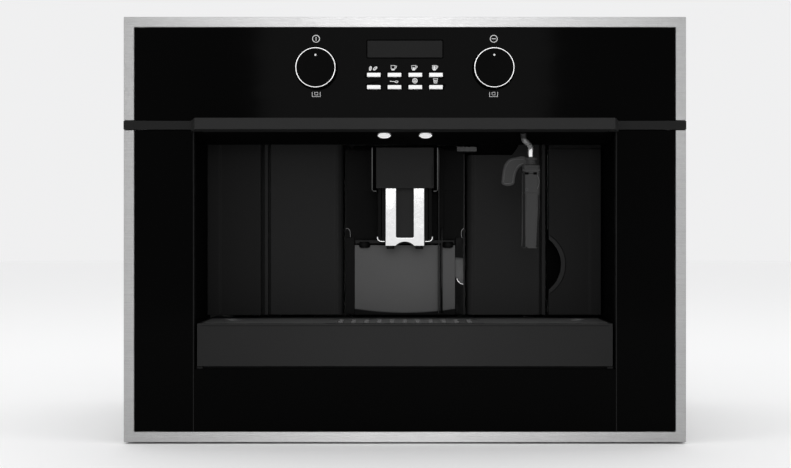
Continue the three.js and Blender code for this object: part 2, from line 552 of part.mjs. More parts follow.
piece("brew_piston", "brass", cut(
  join(post(PISTON.radius, PISTON.bottom, PISTON.top, CHAMBER.x),
    post(PISTON.stem, PISTON.top - 1, ARM_BAR.bottom + 1, CHAMBER.x),
    slab(CHAMBER.x - PISTON.stem, SPINDLE.x, BREW.y - ARM_BAR.half, BREW.y + ARM_BAR.half,
      ARM_BAR.bottom, ARM_BAR.top),
    post(NUT.radius, NUT.bottom, NUT.top, SPINDLE.x)),
  post(NUT.bore, NUT.bottom - 5, NUT.top + 5, SPINDLE.x)));

// ---- the machine's own origin: middle of the footprint, on the underside of the base --------

assembly.position.set(0, -(INLET_BACK - GRIP_REACH) / 2, -BASE_UNDERSIDE);

const group = new THREE.Group();
group.add(assembly);
export default group;
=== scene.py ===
import json
from math import cos, pi, radians, sin

import bpy
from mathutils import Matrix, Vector


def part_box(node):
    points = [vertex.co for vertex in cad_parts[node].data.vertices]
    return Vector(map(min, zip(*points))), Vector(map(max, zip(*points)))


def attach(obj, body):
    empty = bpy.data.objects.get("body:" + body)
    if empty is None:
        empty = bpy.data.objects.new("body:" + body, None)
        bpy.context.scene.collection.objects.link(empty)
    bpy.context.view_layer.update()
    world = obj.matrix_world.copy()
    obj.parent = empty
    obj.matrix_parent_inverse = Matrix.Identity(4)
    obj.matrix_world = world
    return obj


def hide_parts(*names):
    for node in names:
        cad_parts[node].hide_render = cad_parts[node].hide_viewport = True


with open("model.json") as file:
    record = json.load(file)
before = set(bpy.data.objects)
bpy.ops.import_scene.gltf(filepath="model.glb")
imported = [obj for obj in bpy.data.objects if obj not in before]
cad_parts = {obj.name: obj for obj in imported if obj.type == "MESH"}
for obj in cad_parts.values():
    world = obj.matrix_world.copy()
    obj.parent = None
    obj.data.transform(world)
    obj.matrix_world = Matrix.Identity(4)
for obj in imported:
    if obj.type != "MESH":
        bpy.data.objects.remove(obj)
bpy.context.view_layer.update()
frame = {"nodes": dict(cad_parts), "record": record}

# ----------------------------------------------------------
# The view, the floor and the light. The lens looks straight at the front from 1.5 m away, level
# with the middle of the machine, a little off the middle of the picture.
front_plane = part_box("upper_trim_frame")[0].y
lower_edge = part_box("lower_trim_frame")[0].z
photo_width, photo_height = 791, 468
pixels_per_metre = 945.5
view_distance = 1.5
vanishing_px = Vector((404.9, 230.0))
sensor_width = 0.036
lens_data = bpy.data.cameras.new("view")
lens_data.sensor_width = sensor_width * 1000
lens_data.lens = sensor_width * 1000 * view_distance * pixels_per_metre / photo_width
lens_data.shift_x = (photo_width / 2 - vanishing_px.x) / photo_width
lens_data.shift_y = (vanishing_px.y - photo_height / 2) / photo_width


def linked(name, data):
    """A new object that stands in the scene."""
    thing = bpy.data.objects.new(name, data)
    bpy.context.scene.collection.objects.link(thing)
    return thing


view = linked("view", lens_data)
eye_height = 0.2265
view.location = (0, front_plane - view_distance, eye_height)
view.rotation_euler = (pi / 2, 0, 0)
bpy.context.scene.camera = view
bpy.context.scene.view_settings.view_transform = "Standard"

bpy.ops.object.select_all(action="DESELECT")
floor_radius = 9
bpy.ops.mesh.primitive_circle_add(vertices=96, radius=floor_radius, fill_type="NGON")
floor = bpy.context.object
floor.name = "floor"
floor_paint = bpy.data.materials.new("floor_paint")
floor_paint.use_nodes = True
floor_shader = floor_paint.node_tree.nodes["Principled BSDF"]
for socket, value in (("Base Color", (0.97, 0.97, 0.97, 1)), ("Roughness", 0.9),
                      ("Specular IOR Level", 0.05)):
    floor_shader.inputs[socket].default_value = value
floor.data.materials.append(floor_paint)


def soft_lamp(name, place, aim, size, power):
    """A rectangular soft lamp at a place, facing a point."""
    data = bpy.data.lights.new(name, "AREA")
    data.shape = "RECTANGLE"
    data.size, data.size_y = size
    data.energy = power
    lamp = linked(name, data)
    lamp.location = place
    lamp.rotation_euler = (Vector(aim) - Vector(place)).to_track_quat("-Z", "Y").to_euler()


soft_lamp("key_lamp", (0, -2.3, 0.75), (0, 0, 0.3), (0.75, 0.8), 5)
soft_lamp("left_lamp", (-2.4, -1.6, 1.5), (0, 0, 0.2), (1.2, 1.2), 9)
soft_lamp("right_lamp", (2.4, -1.4, 1.5), (0, 0, 0.2), (1.2, 1.2), 6)
soft_lamp("top_lamp", (0, 0.4, 2.6), (0, 0, 0.2), (1.8, 1.8), 6)

# Pale surroundings light everything evenly from all sides.
world = bpy.data.worlds.new("surroundings")
bpy.context.scene.world = world
world.use_nodes = True
background = world.node_tree.nodes["Background"]
background.inputs["Color"].default_value = (0.87, 0.87, 0.875, 1)

# ----------------------------------------------------------
# Runners: three-member telescopic rails of zinc-plated sheet steel, pressed and riveted. The
# outer members are welded to the base plate, which is screwed to the niche floor.


class Wire:
    """A socket of a finish. Arithmetic on it adds Math nodes to that finish."""

    def __init__(self, finish, socket):
        self.finish = finish
        self.socket = socket

    def _maths(self, operation, first, second=0.0):
        return self.finish.node("Math", {"operation": operation}, {0: first, 1: second})

    def __add__(self, other):
        return self._maths("ADD", self, other)

    def __mul__(self, other):
        return self._maths("MULTIPLY", self, other)

    def __rsub__(self, other):
        return self._maths("SUBTRACT", other, self)

    def __gt__(self, other):
        return self._maths("GREATER_THAN", self, other)

    def __abs__(self):
        return self._maths("ABSOLUTE", self)

    __radd__, __rmul__ = __add__, __mul__


class Finish:
    """A procedural surface: one material, whose shader's sockets are fed by name."""

    def __init__(self, name, slot, **sockets):
        self.material = bpy.data.materials.new(name)
        self.material.use_nodes = True
        self.slot = slot
        self.tree = self.material.node_tree
        self.shader = self.tree.nodes["Principled BSDF"]
        self.surface(**sockets)
        self.place = self.node("TexCoord", {}, {}, "Object")

    def feed(self, node, values):
        for key, value in values.items():
            if isinstance(value, Wire):
                self.tree.links.new(value.socket, node.inputs[key])
            elif node.inputs[key].type == "RGBA":
                colour = grey(value) if isinstance(value, int) else value
                node.inputs[key].default_value = (*colour, 1)
            else:
                node.inputs[key].default_value = value

    def node(self, kind, settings, values, output=0):
        node = self.tree.nodes.new("ShaderNode" + kind)
        for key, value in settings.items():
            if key == "stops":
                for stop, (position, shade) in zip(node.color_ramp.elements, value):
                    stop.position = position
                    stop.color = (shade, shade, shade, 1)
            else:
                setattr(node, key, value)
        self.feed(node, values)
        return Wire(self, node.outputs[output])

    def noise(self, scale, detail=3.0, roughness=0.55, stretch=(1, 1, 1)):
        where = self.node("Mapping", {}, {"Vector": self.place, "Scale": stretch})
        return self.node("TexNoise", {}, {"Vector": where, "Scale": scale, "Detail": detail,
                                          "Roughness": roughness})

    def along(self, axis):
        return self.node("SeparateXYZ", {}, {"Vector": self.place}, axis)

    def between(self, mask, first, second):
        return self.node("Mix", {"data_type": "RGBA"}, {0: mask, 6: first, 7: second}, 2)

    def ramp(self, mask, low, high):
        """Nought up to low, one from high on."""
        return self.node("ValToRGB", {"stops": ((low, 0), (high, 1))}, {"Fac": mask})

    def bump(self, height, strength, distance):
        return self.node("Bump", {}, {"Height": height, "Strength": strength,
                                      "Distance": distance})

    def edge_sheen_and_wear(self, bright):
        """A mask of the rounded edges, painted lighter as an edge highlight and broken into patches
        like
        the polish of hands and cloths: there the smoothed normal leaves the flat face's own."""
        smooth = self.node("NewGeometry", {}, {}, "Normal")
        facet = self.node("NewGeometry", {}, {}, "True Normal")
        same = self.node("VectorMath", {"operation": "DOT_PRODUCT"}, {0: smooth, 1: facet},
                         "Value")
        edge = self.ramp(1.0 - same, 0.003, 0.03)
        return edge * self.ramp(self.noise(120, 3), 0.35, 0.65) * bright

    def surface(self, **sockets):
        """Feeds the shader's sockets by name. Shine is its specular level."""
        names = {"Shine": "Specular IOR Level"}
        self.feed(self.shader, {names.get(key, key.replace("_", " ")): value
                                for key, value in sockets.items()})
        return self


def grey(value):
    """A neutral colour from an sRGB level of 0 to 255, as a linear triple."""
    share = value / 255
    linear = share / 12.92 if share <= 0.04045 else ((share + 0.055) / 1.055) ** 2.4
    return (linear, linear, linear)


def at(x, y, z):
    """A point in metres from millimetres: y from the front of the trim, z from its lower edge."""
    return Vector((x / 1000, front_plane + y / 1000, lower_edge + z / 1000))


def start_clean():
    if bpy.context.object and bpy.context.object.mode != "OBJECT":
        bpy.ops.object.mode_set(mode="OBJECT")
    bpy.ops.object.select_all(action="DESELECT")


def only(piece):
    start_clean()
    piece.select_set(True)
    bpy.context.view_layer.objects.active = piece
    return piece


def opened(piece):
    """Opens the piece in edit mode with all of it selected."""
    only(piece)
    bpy.ops.object.mode_set(mode="EDIT")
    bpy.ops.mesh.select_all(action="SELECT")


def choose(piece, wanted, kind="FACE"):
    """Opens the piece in edit mode with only the wanted faces, edges or corners selected."""
    only(piece)
    bpy.ops.object.mode_set(mode="EDIT")
    bpy.ops.mesh.select_mode(type=kind)
    bpy.ops.mesh.select_all(action="DESELECT")
    bpy.ops.object.mode_set(mode="OBJECT")
    mesh = piece.data
    for part in {"FACE": mesh.polygons, "EDGE": mesh.edges, "VERT": mesh.vertices}[kind]:
        part.select = wanted(part)
    bpy.ops.object.mode_set(mode="EDIT")


def settle(piece):
    """The piece's place goes into its mesh, so that its object sits at the origin."""
    only(piece)
    bpy.ops.object.transform_apply(location=True, rotation=True, scale=True)
    return piece


def outward(piece):
    """Closed at its seams, with every face turned outward."""
    opened(piece)
    bpy.ops.mesh.remove_doubles(threshold=0.000005)
    bpy.ops.mesh.normals_make_consistent(inside=False)
    return only(piece)


def smoothed(piece, angle=None):
    """Shaded smooth all over, or only across edges less sharp than the angle."""
    only(piece)
    if angle is None:
        bpy.ops.object.shade_smooth()
    else:
        bpy.ops.object.shade_smooth_by_angle(angle=radians(angle))
    return piece


def round_edges(piece, width, segments=2, angle=30):
    """A rolled or moulded edge: a bevel in millimetres on every edge sharper than the angle."""
    only(piece)
    edge = piece.modifiers.new("edge", "BEVEL")
    edge.width = width / 1000
    edge.segments = segments
    edge.limit_method = "ANGLE"
    edge.angle_limit = radians(angle)
    edge.miter_outer = "MITER_ARC"
    bpy.ops.object.modifier_apply(modifier="edge")
    smoothed(piece, 40)
    flat = piece.modifiers.new("flat", "WEIGHTED_NORMAL")
    flat.keep_sharp = True
    bpy.ops.object.modifier_apply(modifier="flat")
    return piece


def block(x, y, z):
    """A block between two limits along each axis, in millimetres."""
    low, high = at(x[0], y[0], z[0]), at(x[1], y[1], z[1])
    start_clean()
    bpy.ops.mesh.primitive_cube_add(size=1, location=(low + high) / 2, scale=high - low)
    return settle(bpy.context.object)


def bar(x, y, z, edge, segments=2, angle=30):
    return round_edges(block(x, y, z), edge, segments, angle)


def drawn_out(place, axis, steps, sides=32):
    """A turned part: a disc drawn out step by step. Steps are (reach along the axis, radius)."""
    direction = Vector(axis).normalized()
    foot = at(*place)
    reach, radius = steps[0]
    start_clean()
    bpy.ops.mesh.primitive_circle_add(
        vertices=sides, radius=radius / 1000, fill_type="NGON",
        location=foot + direction * reach / 1000,
        rotation=direction.to_track_quat("Z", "Y").to_euler())
    piece = settle(bpy.context.object)
    opened(piece)
    for next_reach, next_radius in steps[1:]:
        bpy.ops.mesh.extrude_region_move(
            TRANSFORM_OT_translate={"value": direction * (next_reach - reach) / 1000})
        if next_radius != radius:
            bpy.ops.transform.resize(value=(next_radius / radius,) * 3,
                                     center_override=foot + direction * next_reach / 1000)
        reach, radius = next_reach, next_radius
    return outward(piece)


def upright(x, y, steps, sides=32):
    return drawn_out((x, y, 0), (0, 0, 1), steps, sides)


def bored(piece, *tools):
    """The tools are taken away from the piece, and go."""
    for tool in tools:
        only(piece)
        bore = piece.modifiers.new("bore", "BOOLEAN")
        bore.operation = "DIFFERENCE"
        bore.solver = "EXACT"
        bore.object = tool
        bpy.ops.object.modifier_apply(modifier="bore")
        bpy.data.objects.remove(tool)
    return piece


def joined(*parts):
    only(parts[0])
    for part in parts:
        part.select_set(True)
    if len(parts) > 1:
        bpy.ops.object.join()
    return bpy.context.object


def each_side(x, y, z, edge, segments=2):
    """The same bar on both sides of the middle, as one piece."""
    return joined(*[bar(sorted((side * x[0], side * x[1])), y, z, edge, segments)
                    for side in (-1, 1)])


def set_in(pattern, spots):
    """Copies of a small part that was modelled at nought and upright, each at its own spot."""
    copies = []
    for place, axis in spots:
        copy = linked("copy", pattern.copy())
        copy.location = at(*place)
        copy.rotation_euler = Vector(axis).to_track_quat("Z", "Y").to_euler()
        copies.append(settle(copy))
    return joined(*copies)


def pattern_of(piece):
    """The mesh alone of a part modelled round the zero point, for set_in."""
    settle(piece)
    piece.location = -at(0, 0, 0)
    settle(piece)
    mesh = piece.data
    mesh.use_fake_user = True
    bpy.data.objects.remove(piece)
    return mesh


def fit(piece, name, finish, body="machine", *nodes):
    """Names the piece, its surface and what it moves with, and the solids it stands for. The
    parts of a list become one piece."""
    if isinstance(piece, list):
        piece = joined(*piece)
    piece.name = name
    piece.data.materials.clear()
    piece.data.materials.append(finish.material)
    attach(piece, body)
    if nodes:
        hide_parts(*nodes)
    return piece


def body_with(node):
    bodies = frame["record"]["behaviour"]["bodies"]
    return next(name for name, members in bodies.items() if node in members)


def whole(node):
    """A copy of a solid whose flat faces are whole again, cut only where a hole needs it."""
    piece = only(linked(node, frame["nodes"][node].data.copy()))
    bpy.ops.mesh.customdata_custom_splitnormals_clear()
    opened(piece)
    bpy.ops.mesh.remove_doubles(threshold=0.00002)
    bpy.ops.mesh.dissolve_limited(angle_limit=radians(1))
    bpy.ops.mesh.vert_connect_concave()
    return only(piece)


def dressed(node, finish, edge, segments=2, angle=30):
    """The solid's own form with rounded edges, in its finish."""
    piece = round_edges(whole(node), edge, segments, angle)
    return fit(piece, f"{node}_form", finish, body_with(node), node)


zinc = Finish("zinc_plate", "galvanised", Metallic=0.85)
zinc_spangle = zinc.node("TexVoronoi", {"feature": "F1"},
                         {"Vector": zinc.place, "Scale": 130.0}, "Color")
zinc_shade = zinc.node("SeparateColor", {}, {"Color": zinc_spangle})
zinc_grain = zinc.noise(900, 2, 0.6)
zinc_stain = zinc.noise(7, 4)
zinc.surface(Base_Color=zinc.between(0.6 * zinc_shade + 0.4 * zinc_stain, 150, 178),
             Roughness=0.3 + 0.14 * zinc_grain + 0.12 * zinc_shade,
             Normal=zinc.bump(zinc_grain, 0.15, 0.0002))
for node in ("rail_base", "middle_rail_left", "middle_rail_right", "chassis_floor"):
    dressed(node, zinc, 0.6)


def mottled(name, slot, cloud, low, high, rough, spread, relief=0.0, grain=None, glow=None,
            **sockets):
    """A finish between two greys, mixed by a cloud. A finer grain, or else the cloud itself,
    spreads the roughness and stands out as relief. A glow is two greys of its own light."""
    finish = Finish(name, slot, **sockets)
    tone = finish.noise(*cloud)
    fine = finish.noise(*grain) if grain else tone
    finish.surface(Base_Color=finish.between(tone, low, high), Roughness=rough + spread * fine)
    if relief:
        finish.surface(Normal=finish.bump(fine, relief, 0.0001))
    if glow:
        finish.surface(Emission_Color=finish.between(tone, *glow), Emission_Strength=1.0)
    return finish


# Pan-head screws with a cross recess, all from one pattern.
screw_steel = mottled("screw_steel", "galvanised", (2600, 2), 120, 170, 0.25, 0.2, 0.1,
                      Metallic=1.0)
screw_head = upright(0, 0, [(-0.3, 3.6), (0.7, 3.6), (1.4, 3.1), (1.8, 2.0)], 20)
screw = pattern_of(round_edges(bored(
    screw_head, block((-2, 2), (-0.45, 0.45), (0.7, 3)), block((-0.45, 0.45), (-2, 2), (0.7, 3))),
    0.12, 1))
fit(set_in(screw, [((x, y, 1), (0, 0, 1)) for x in (-180, 0, 180) for y in (75, 356)]),
    "base_screws", screw_steel, "base")

rivet = pattern_of(upright(0, 0, [(-0.2, 3.2), (0.5, 3.1), (1.1, 2.4), (1.4, 1.2)], 16))
fit(set_in(rivet, [((side * 262, y, 14), (side, 0, 0)) for side in (-1, 1)
                   for y in (70, 150, 230, 310, 370)]), "rail_rivets", screw_steel, "base")

# Rubber stops end the travel at the back.
rubber = mottled("black_rubber", "black_plastic", (1800, 2), 14, 26, 0.75, 0.15, 0.3, Shine=0.1)
fit(each_side((251.8, 258.2), (384, 391), (5, 24), 1.2, 3), "rail_stops", rubber, "base")

# ----------------------------------------------------------
# Casing: folded zinc-plated sheets, screwed together along their edges, with pressed louvres
# and beads. The mains inlet at the back is a moulded socket with three pins.
for node in ("side_panel_left", "side_panel_right", "rear_panel", "top_cover"):
    dressed(node, zinc, 0.5)

case_side, case_back, case_top = 277, 394.3, 440.3
louvre_bar = block((-26, 26), (-2.6, 3.4), (-0.6, 3.0))
choose(louvre_bar, lambda corner: corner.co.z > at(0, 0, 1).z and corner.co.y > at(0, 0, 0).y,
       "VERT")
bpy.ops.transform.translate(value=(0, 0, -0.0028))
louvre_mouth = block((-24, 24), (-4, 1.6), (-2, 2.1))
louvre = pattern_of(round_edges(bored(louvre_bar, louvre_mouth), 0.35))
louvre_spots = [((x, case_back, z), (0, 1, 0)) for x in (-100, -36, 28, 92)
                for z in range(260, 400, 14)]
louvre_spots += [((side * case_side, y, z), (side, 0, 0)) for side in (-1, 1)
                 for y in (90, 300) for z in range(300, 410, 14)]
louvre_spots += [((-150, y, case_top), (0, 0, 1)) for y in range(250, 360, 14)]
fit(set_in(louvre, louvre_spots), "louvres", zinc)

bead = pattern_of(bar((-4, 4), (-80, 80), (-0.9, 0.9), 0.85, 4))
fit(set_in(bead, [((x, 130, case_top), (0, 0, 1)) for x in (-240, -205, -95, -60, -25, 0)]),
    "cover_beads", zinc)

case_screws = [((x, y, case_top), (0, 0, 1)) for x in (-266, 266) for y in (34, 150, 270, 384)]
case_screws += [((x, y, case_top), (0, 0, 1)) for x in (-130, 10, 140) for y in (34, 384)]
case_screws += [((x, case_back, z), (0, 1, 0)) for x in (-268, 268) for z in (44, 170, 300, 428)]
case_screws += [((x, case_back, z), (0, 1, 0)) for x in (-130, 0, 130) for z in (44, 428)]
case_screws += [((side * case_side, y, z), (side, 0, 0)) for side in (-1, 1)
                for y in (36, 380) for z in (44, 170, 300, 428)]
fit(set_in(screw, case_screws), "case_screws", screw_steel)

inlet_black = mottled("inlet_moulding", "black_plastic", (1400, 2), 16, 24, 0.5, 0.2, 0.2,
                      Shine=0.2)
inlet_collar = bored(block((-236.6, -183.4), (394.2, 400), (57.4, 92.6)),
                     block((-224, -196), (390, 402), (66, 84)))
fit(round_edges(inlet_collar, 1.0, 3), "inlet_collar", inlet_black)
pins = [bar((x - 1, x + 1), (394, 399.2), (z - 2.2, z + 2.2), 0.4)
        for x, z in ((-217, 73), (-203, 73), (-210, 78.5))]
fit(pins, "inlet_pins", screw_steel)

# ----------------------------------------------------------
# Trim: sections of stainless steel sheet, ground lengthways along X, folded back round the glass
# and mitred at the corners.
steel = Finish("brushed_steel", "brushed_steel", Metallic=1.0)
steel_long = steel.noise(5, 4, 0.7, stretch=(4, 30, 900))
steel_fine = steel.noise(9, 2, 0.6, stretch=(14, 60, 2600))
steel_grain = 0.55 * steel_long + 0.45 * steel_fine
# The grain's two greys are painted brighter in the middle and darker towards the left and right
# ends: a painted highlight of the lamp in front, fading to the sides.
steel_painted_falloff = steel.ramp(abs(steel.along(0)), 0.04, 0.3)
steel_low_painted = steel.between(steel_painted_falloff, 186, 106)
steel_high_painted = steel.between(steel_painted_falloff, 252, 204)
steel.surface(
    Base_Color=steel.between(steel_grain, steel_low_painted, steel_high_painted),
    Roughness=0.2 + 0.22 * steel_fine,
    Normal=steel.bump(steel_grain, 0.9, 0.0004))
for node in ("upper_trim_frame", "lower_trim_frame"):
    dressed(node, steel, 0.8, 3)

# ----------------------------------------------------------
# Front glass: toughened glass printed black on the back, ground and polished along its edges.
# Grey lips of silicone close the two upright joints in the lower field.
glass = Finish("black_glass", "black_glass", Shine=0.02)
glass_cloud = glass.noise(3, 2)
glass_dust = glass.noise(1100, 2)
glass_smear = glass.noise(16, 4, 0.6, stretch=(1, 1, 0.4))
glass.surface(Base_Color=glass.between(glass_cloud, 1, 4),
              Roughness=0.03 + 0.04 * glass_dust + 0.06 * glass_smear)
for node in ("control_glass", "lower_glass_panel", "left_glass_panel", "right_glass_panel"):
    dressed(node, glass, 0.7)

lip_grey = mottled("joint_silicone", "grey_plastic", (700, 2), 20, 32, 0.6, 0.2, 0.2, Shine=0.1)
fit(each_side((223.45, 224.25), (0.7, 5.6), (11.6, 330.2), 0.15), "glass_lips", lip_grey)

# ----------------------------------------------------------
# Pull handle: an extruded aluminium bar with a satin anthracite lacquer. It hides the joint
# between the upper and the lower field and stands forward in the middle as a grip.
lacquer = Finish("anthracite_lacquer", "anthracite", Metallic=0.1, Shine=0.12)
lacquer_peel = lacquer.noise(1400, 2)
lacquer_cloud = lacquer.noise(14, 3)
grip_end = 0.2262
# Beyond the grip the side strips are painted darker: painted shade, as the recessed strips stand in
# shadow.
lacquer_shaded_ends = abs(lacquer.along(0)) > grip_end
lacquer_body = lacquer.between(lacquer_cloud, 31, 35)
lacquer_painted_shade_strip = lacquer.between(lacquer_cloud, 19, 22)
lacquer_shaded_tone = lacquer.between(lacquer_shaded_ends, lacquer_body, lacquer_painted_shade_strip)
# The rounded edges are painted lighter: a painted edge highlight, in wear-like patches.
lacquer.surface(Base_Color=lacquer.between(lacquer.edge_sheen_and_wear(0.5), lacquer_shaded_tone, 96),
                Roughness=0.4 + 0.14 * lacquer_peel,
                Normal=lacquer.bump(lacquer_peel, 0.12, 0.0001))
dressed("pull_handle", lacquer, 1.1, 4)

# A soft seal under the grip closes it against the lower field.
fit(bar((-214, 214), (-31, -3), (327.9, 328.9), 0.4), "grip_underlay", rubber)

# ----------------------------------------------------------
# Display: a dark liquid crystal window, flush with the glass, on the control board behind it.
board_black = mottled("control_moulding", "black_plastic", (9, 3), 11, 17, 0.5, 0.2, 0.25,
                      (1500, 2, 0.6), Shine=0.1)
for node in ("control_carrier", "display_module"):
    dressed(node, board_black, 0.4)

screen = Finish("display_window", "black_glass", Shine=0.03)
screen_line = screen.node("TexWave", {"bands_direction": "X"},
                          {"Vector": screen.place, "Scale": 900.0})
screen_row = screen.node("TexWave", {"bands_direction": "Z"},
                         {"Vector": screen.place, "Scale": 900.0})
screen_cloud = screen.noise(20, 2)
screen.surface(Base_Color=screen.between(0.35 * screen_line + 0.35 * screen_row + 0.3 *
                                         screen_cloud, 23, 28),
               Roughness=0.12 + 0.05 * screen_cloud)
fit(bar((-39.7, 39.7), (0.45, 1.2), (407, 424.9), 0.25), "display_window", screen)

# Chips, a ribbon and solder joints on the board behind.
chips = [bar((x, x + w), (14, 15.6), (z, z + h), 0.2)
         for x, w, z, h in ((-60, 14, 365, 14), (-30, 9, 372, 6), (10, 22, 362, 18),
                            (44, 8, 372, 8), (-70, 6, 400, 20), (60, 10, 400, 10))]
fit(chips, "board_chips", board_black)
solder = pattern_of(upright(0, 0, [(-0.1, 0.9), (0.4, 0.8), (0.9, 0.3)], 8))
fit(set_in(solder, [((x, 14, z), (0, 1, 0)) for x in range(-72, 76, 8) for z in (352, 356, 428)]),
    "board_solder", screw_steel)

# ----------------------------------------------------------
# Knobs: turned and moulded in gloss black, with a fluted skirt, a thin chromed ring let in
# round the face and a white dot that shows the position.
knob_black = mottled("knob_gloss", "black_plastic", (400, 3), 3, 5, 0.3, 0.12, 0.05, (1600, 2),
                     Shine=0.02)
chrome = Finish("chrome", "chrome", Metallic=1.0)
chrome_haze = chrome.noise(300, 2)
chrome_water = chrome.ramp(chrome.noise(55, 3), 0.55, 0.75)
chrome.surface(Base_Color=chrome.between(chrome_haze, 236, 250),
               Roughness=0.05 + 0.05 * chrome_haze + 0.08 * chrome_water)
print_white = mottled("ceramic_print", "white", (2200, 2), 214, 236, 0.5, 0.1, Shine=0.1)


def ring(place, radius, wire, segments=48, sides=8, turn=(0, 0, 0)):
    """A ring of round wire in millimetres, lying flat unless it is turned."""
    start_clean()
    bpy.ops.mesh.primitive_torus_add(major_radius=radius / 1000, minor_radius=wire / 1000,
                                     major_segments=segments, minor_segments=sides,
                                     location=at(*place), rotation=turn)
    return smoothed(settle(bpy.context.object))


knob_x, knob_z = 93.8, 395
for hand, side in (("left", -1), ("right", 1)):
    x = side * knob_x
    knob = drawn_out((x, 0, knob_z), (0, -1, 0),
                     [(-19.7, 4), (-5.2, 4), (-5.2, 21.1), (-4, 21.2), (12.2, 21.2), (13.0, 20.8),
                      (13.0, 19.8), (12.9, 17), (12.8, 1)], 72)
    middle = at(x, 0, knob_z)
    choose(knob, lambda face: (abs(face.normal.y) < 0.1 and face.index % 2 == 0
                               and (face.center - middle).xz.length > 0.02))
    bpy.ops.mesh.inset(thickness=0.00025, depth=-0.0004, use_individual=True)
    fit(smoothed(knob, 30), f"knob_{hand}_body", knob_black, f"{hand}_knob", f"knob_{hand}")
    fit(ring((x, -13.05, knob_z), 20.55, 0.55, 96, 12, (pi / 2, 0, 0)), f"knob_{hand}_ring", chrome,
        f"{hand}_knob")
    dot = drawn_out((x, 0, knob_z + 13.2), (0, -1, 0),
                    [(12.7, 1.05), (12.98, 1.05), (13.06, 0.9)], 20)
    fit(dot, f"knob_{hand}_dot", print_white, f"{hand}_knob")

# ----------------------------------------------------------
# Keys: eight white moulded buttons with a slightly crowned face, lit from behind. Their signs
# and the signs round the knobs are fired onto the glass in white ceramic colour.
key_white = mottled("key_white", "white", (260, 2), 240, 252, 0.3, 0.15, glow=(40, 52), Shine=0.3)
key_columns, key_rows = (-32.9, -11, 11, 32.9), (388.6, 375.6)
for index in range(8):
    x, z = key_columns[index % 4], key_rows[index // 4]
    key = block((x - 7.2, x + 7.2), (-0.5, 4.6), (z - 2.15, z + 2.15))
    choose(key, lambda face: face.normal.y < -0.9)
    bpy.ops.mesh.inset(thickness=0.0012, depth=0.00025)
    fit(round_edges(key, 0.5, 3), f"key_{index + 1}_cap", key_white, f"key_button_{index + 1}",
        f"key_{index + 1}")


def traced(points, smooth, closed, **settings):
    """The mesh of a curve through points in metres, bent or straight between them."""
    line = bpy.data.curves.new("line", "CURVE")
    for key, value in settings.items():
        setattr(line, key, value)
    line.bevel_resolution = 3
    spline = line.splines.new("BEZIER" if smooth else "POLY")
    spots = spline.bezier_points if smooth else spline.points
    spots.add(len(points) - 1)
    for spot, point in zip(spots, points):
        spot.co = point if smooth else (*point, 1)
        if smooth:
            spot.handle_left_type = spot.handle_right_type = "AUTO"
    spline.use_cyclic_u = closed
    only(linked("line", line))
    bpy.ops.object.convert(target="MESH")
    return bpy.context.object


def drawn_line(points, radius, smooth=False):
    """A wire along points in millimetres, closed where the last point is the first."""
    closed = points[0] == points[-1]
    return smoothed(traced([at(*point) for point in points[:-1 if closed else None]], smooth,
                           closed, dimensions="3D", bevel_depth=radius / 1000, use_fill_caps=True,
                           resolution_u=8))


def round_of(x, z, wide, high, turn=0.0, steps=20):
    """A closed round or oval in X and Z."""
    spots = []
    for step in range(steps + 1):
        angle = 2 * pi * (step % steps) / steps
        a, b = wide * cos(angle), high * sin(angle)
        spots.append((x + a * cos(turn) - b * sin(turn), z + a * sin(turn) + b * cos(turn)))
    return spots


def cup(x, z, level):
    """A cup with a handle, filled to a level."""
    wall = [(x - 2.1, z + 2.5), (x - 1.9, z - 0.9), (x - 1.1, z - 2.4), (x + 1.1, z - 2.4),
            (x + 1.9, z - 0.9), (x + 2.1, z + 2.5), (x - 2.1, z + 2.5)]
    ear = [(x + 2.1, z + 2), (x + 3.7, z + 1.8), (x + 3.6, z + 0.5), (x + 2, z - 0.7)]
    drink = [[(x - 1.1, z - 2 + 0.45 * row), (x + 1.1, z - 2 + 0.45 * row)]
             for row in range(level)]
    return [wall, ear, *drink]


bean_left = [round_of(-36.5, 395.4, 1.1, 2.2, -0.25),
             [(-36.9, 393.8), (-36.4, 395.4), (-36.1, 397)]]
bean_right = [round_of(-31.5, 395.4, 1.2, 2.3, -0.85),
              [(-33, 394.2), (-31.4, 395.3), (-30.1, 396.6)]]
spoon = [round_of(-8.9, 381.3, 1.6, 0.9), [(-10.5, 381.5), (-16, 381.9)]]
wheel = [round_of(10.6, 382.4, size, size) for size in (2.5, 0.9)]
wheel += [[(10.6 + reach * cos(a), 382.4 + reach * sin(a)) for reach in (1.1, 2.4)]
          for a in (0.5, 1.6, 2.6, 3.7, 4.7, 5.8)]
tumbler = [[(30.2, 384.9), (30.9, 379.9), (33.9, 379.9), (34.6, 384.9), (30.2, 384.9)],
           [(30.6, 383), (34.2, 383)], [(31, 382), (33.8, 382)], [(31.2, 381), (33.6, 381)]]
stand_by = [round_of(-94, 426.8, 3.7, 3.7, steps=28), [(-94, 424.8), (-94, 428.8)]]
go_stop = [round_of(94, 426.8, 3.7, 3.7, steps=28), [(91.8, 426.8), (96.2, 426.8)]]
rinse = [[(x - 4.2, 370.6), (x - 4.2, 365.6), (x + 4.2, 365.6), (x + 4.2, 370.6)]
         for x in (-knob_x, knob_x)]
rinse += [[(x - 1.6, 370.2), (x + 1.6, 370.2), (x + 1.6, 367.4), (x - 1.6, 367.4), (x - 1.6, 370.2)]
          for x in (-knob_x, knob_x)]
signs = [*bean_left, *bean_right, *cup(-12.6, 396, 3), *cup(9.3, 396, 6), *cup(31.2, 396, 9),
         *spoon, *wheel, *tumbler, *stand_by, *go_stop, *rinse]
strokes = [drawn_line([(x, 0, z) for x, z in stroke], 0.36) for stroke in signs]
printed = joined(*strokes)
flatness, sign_face = 0.2, 0.00042
bpy.ops.transform.resize(value=(1, flatness, 1), center_override=at(0, 0, 0))
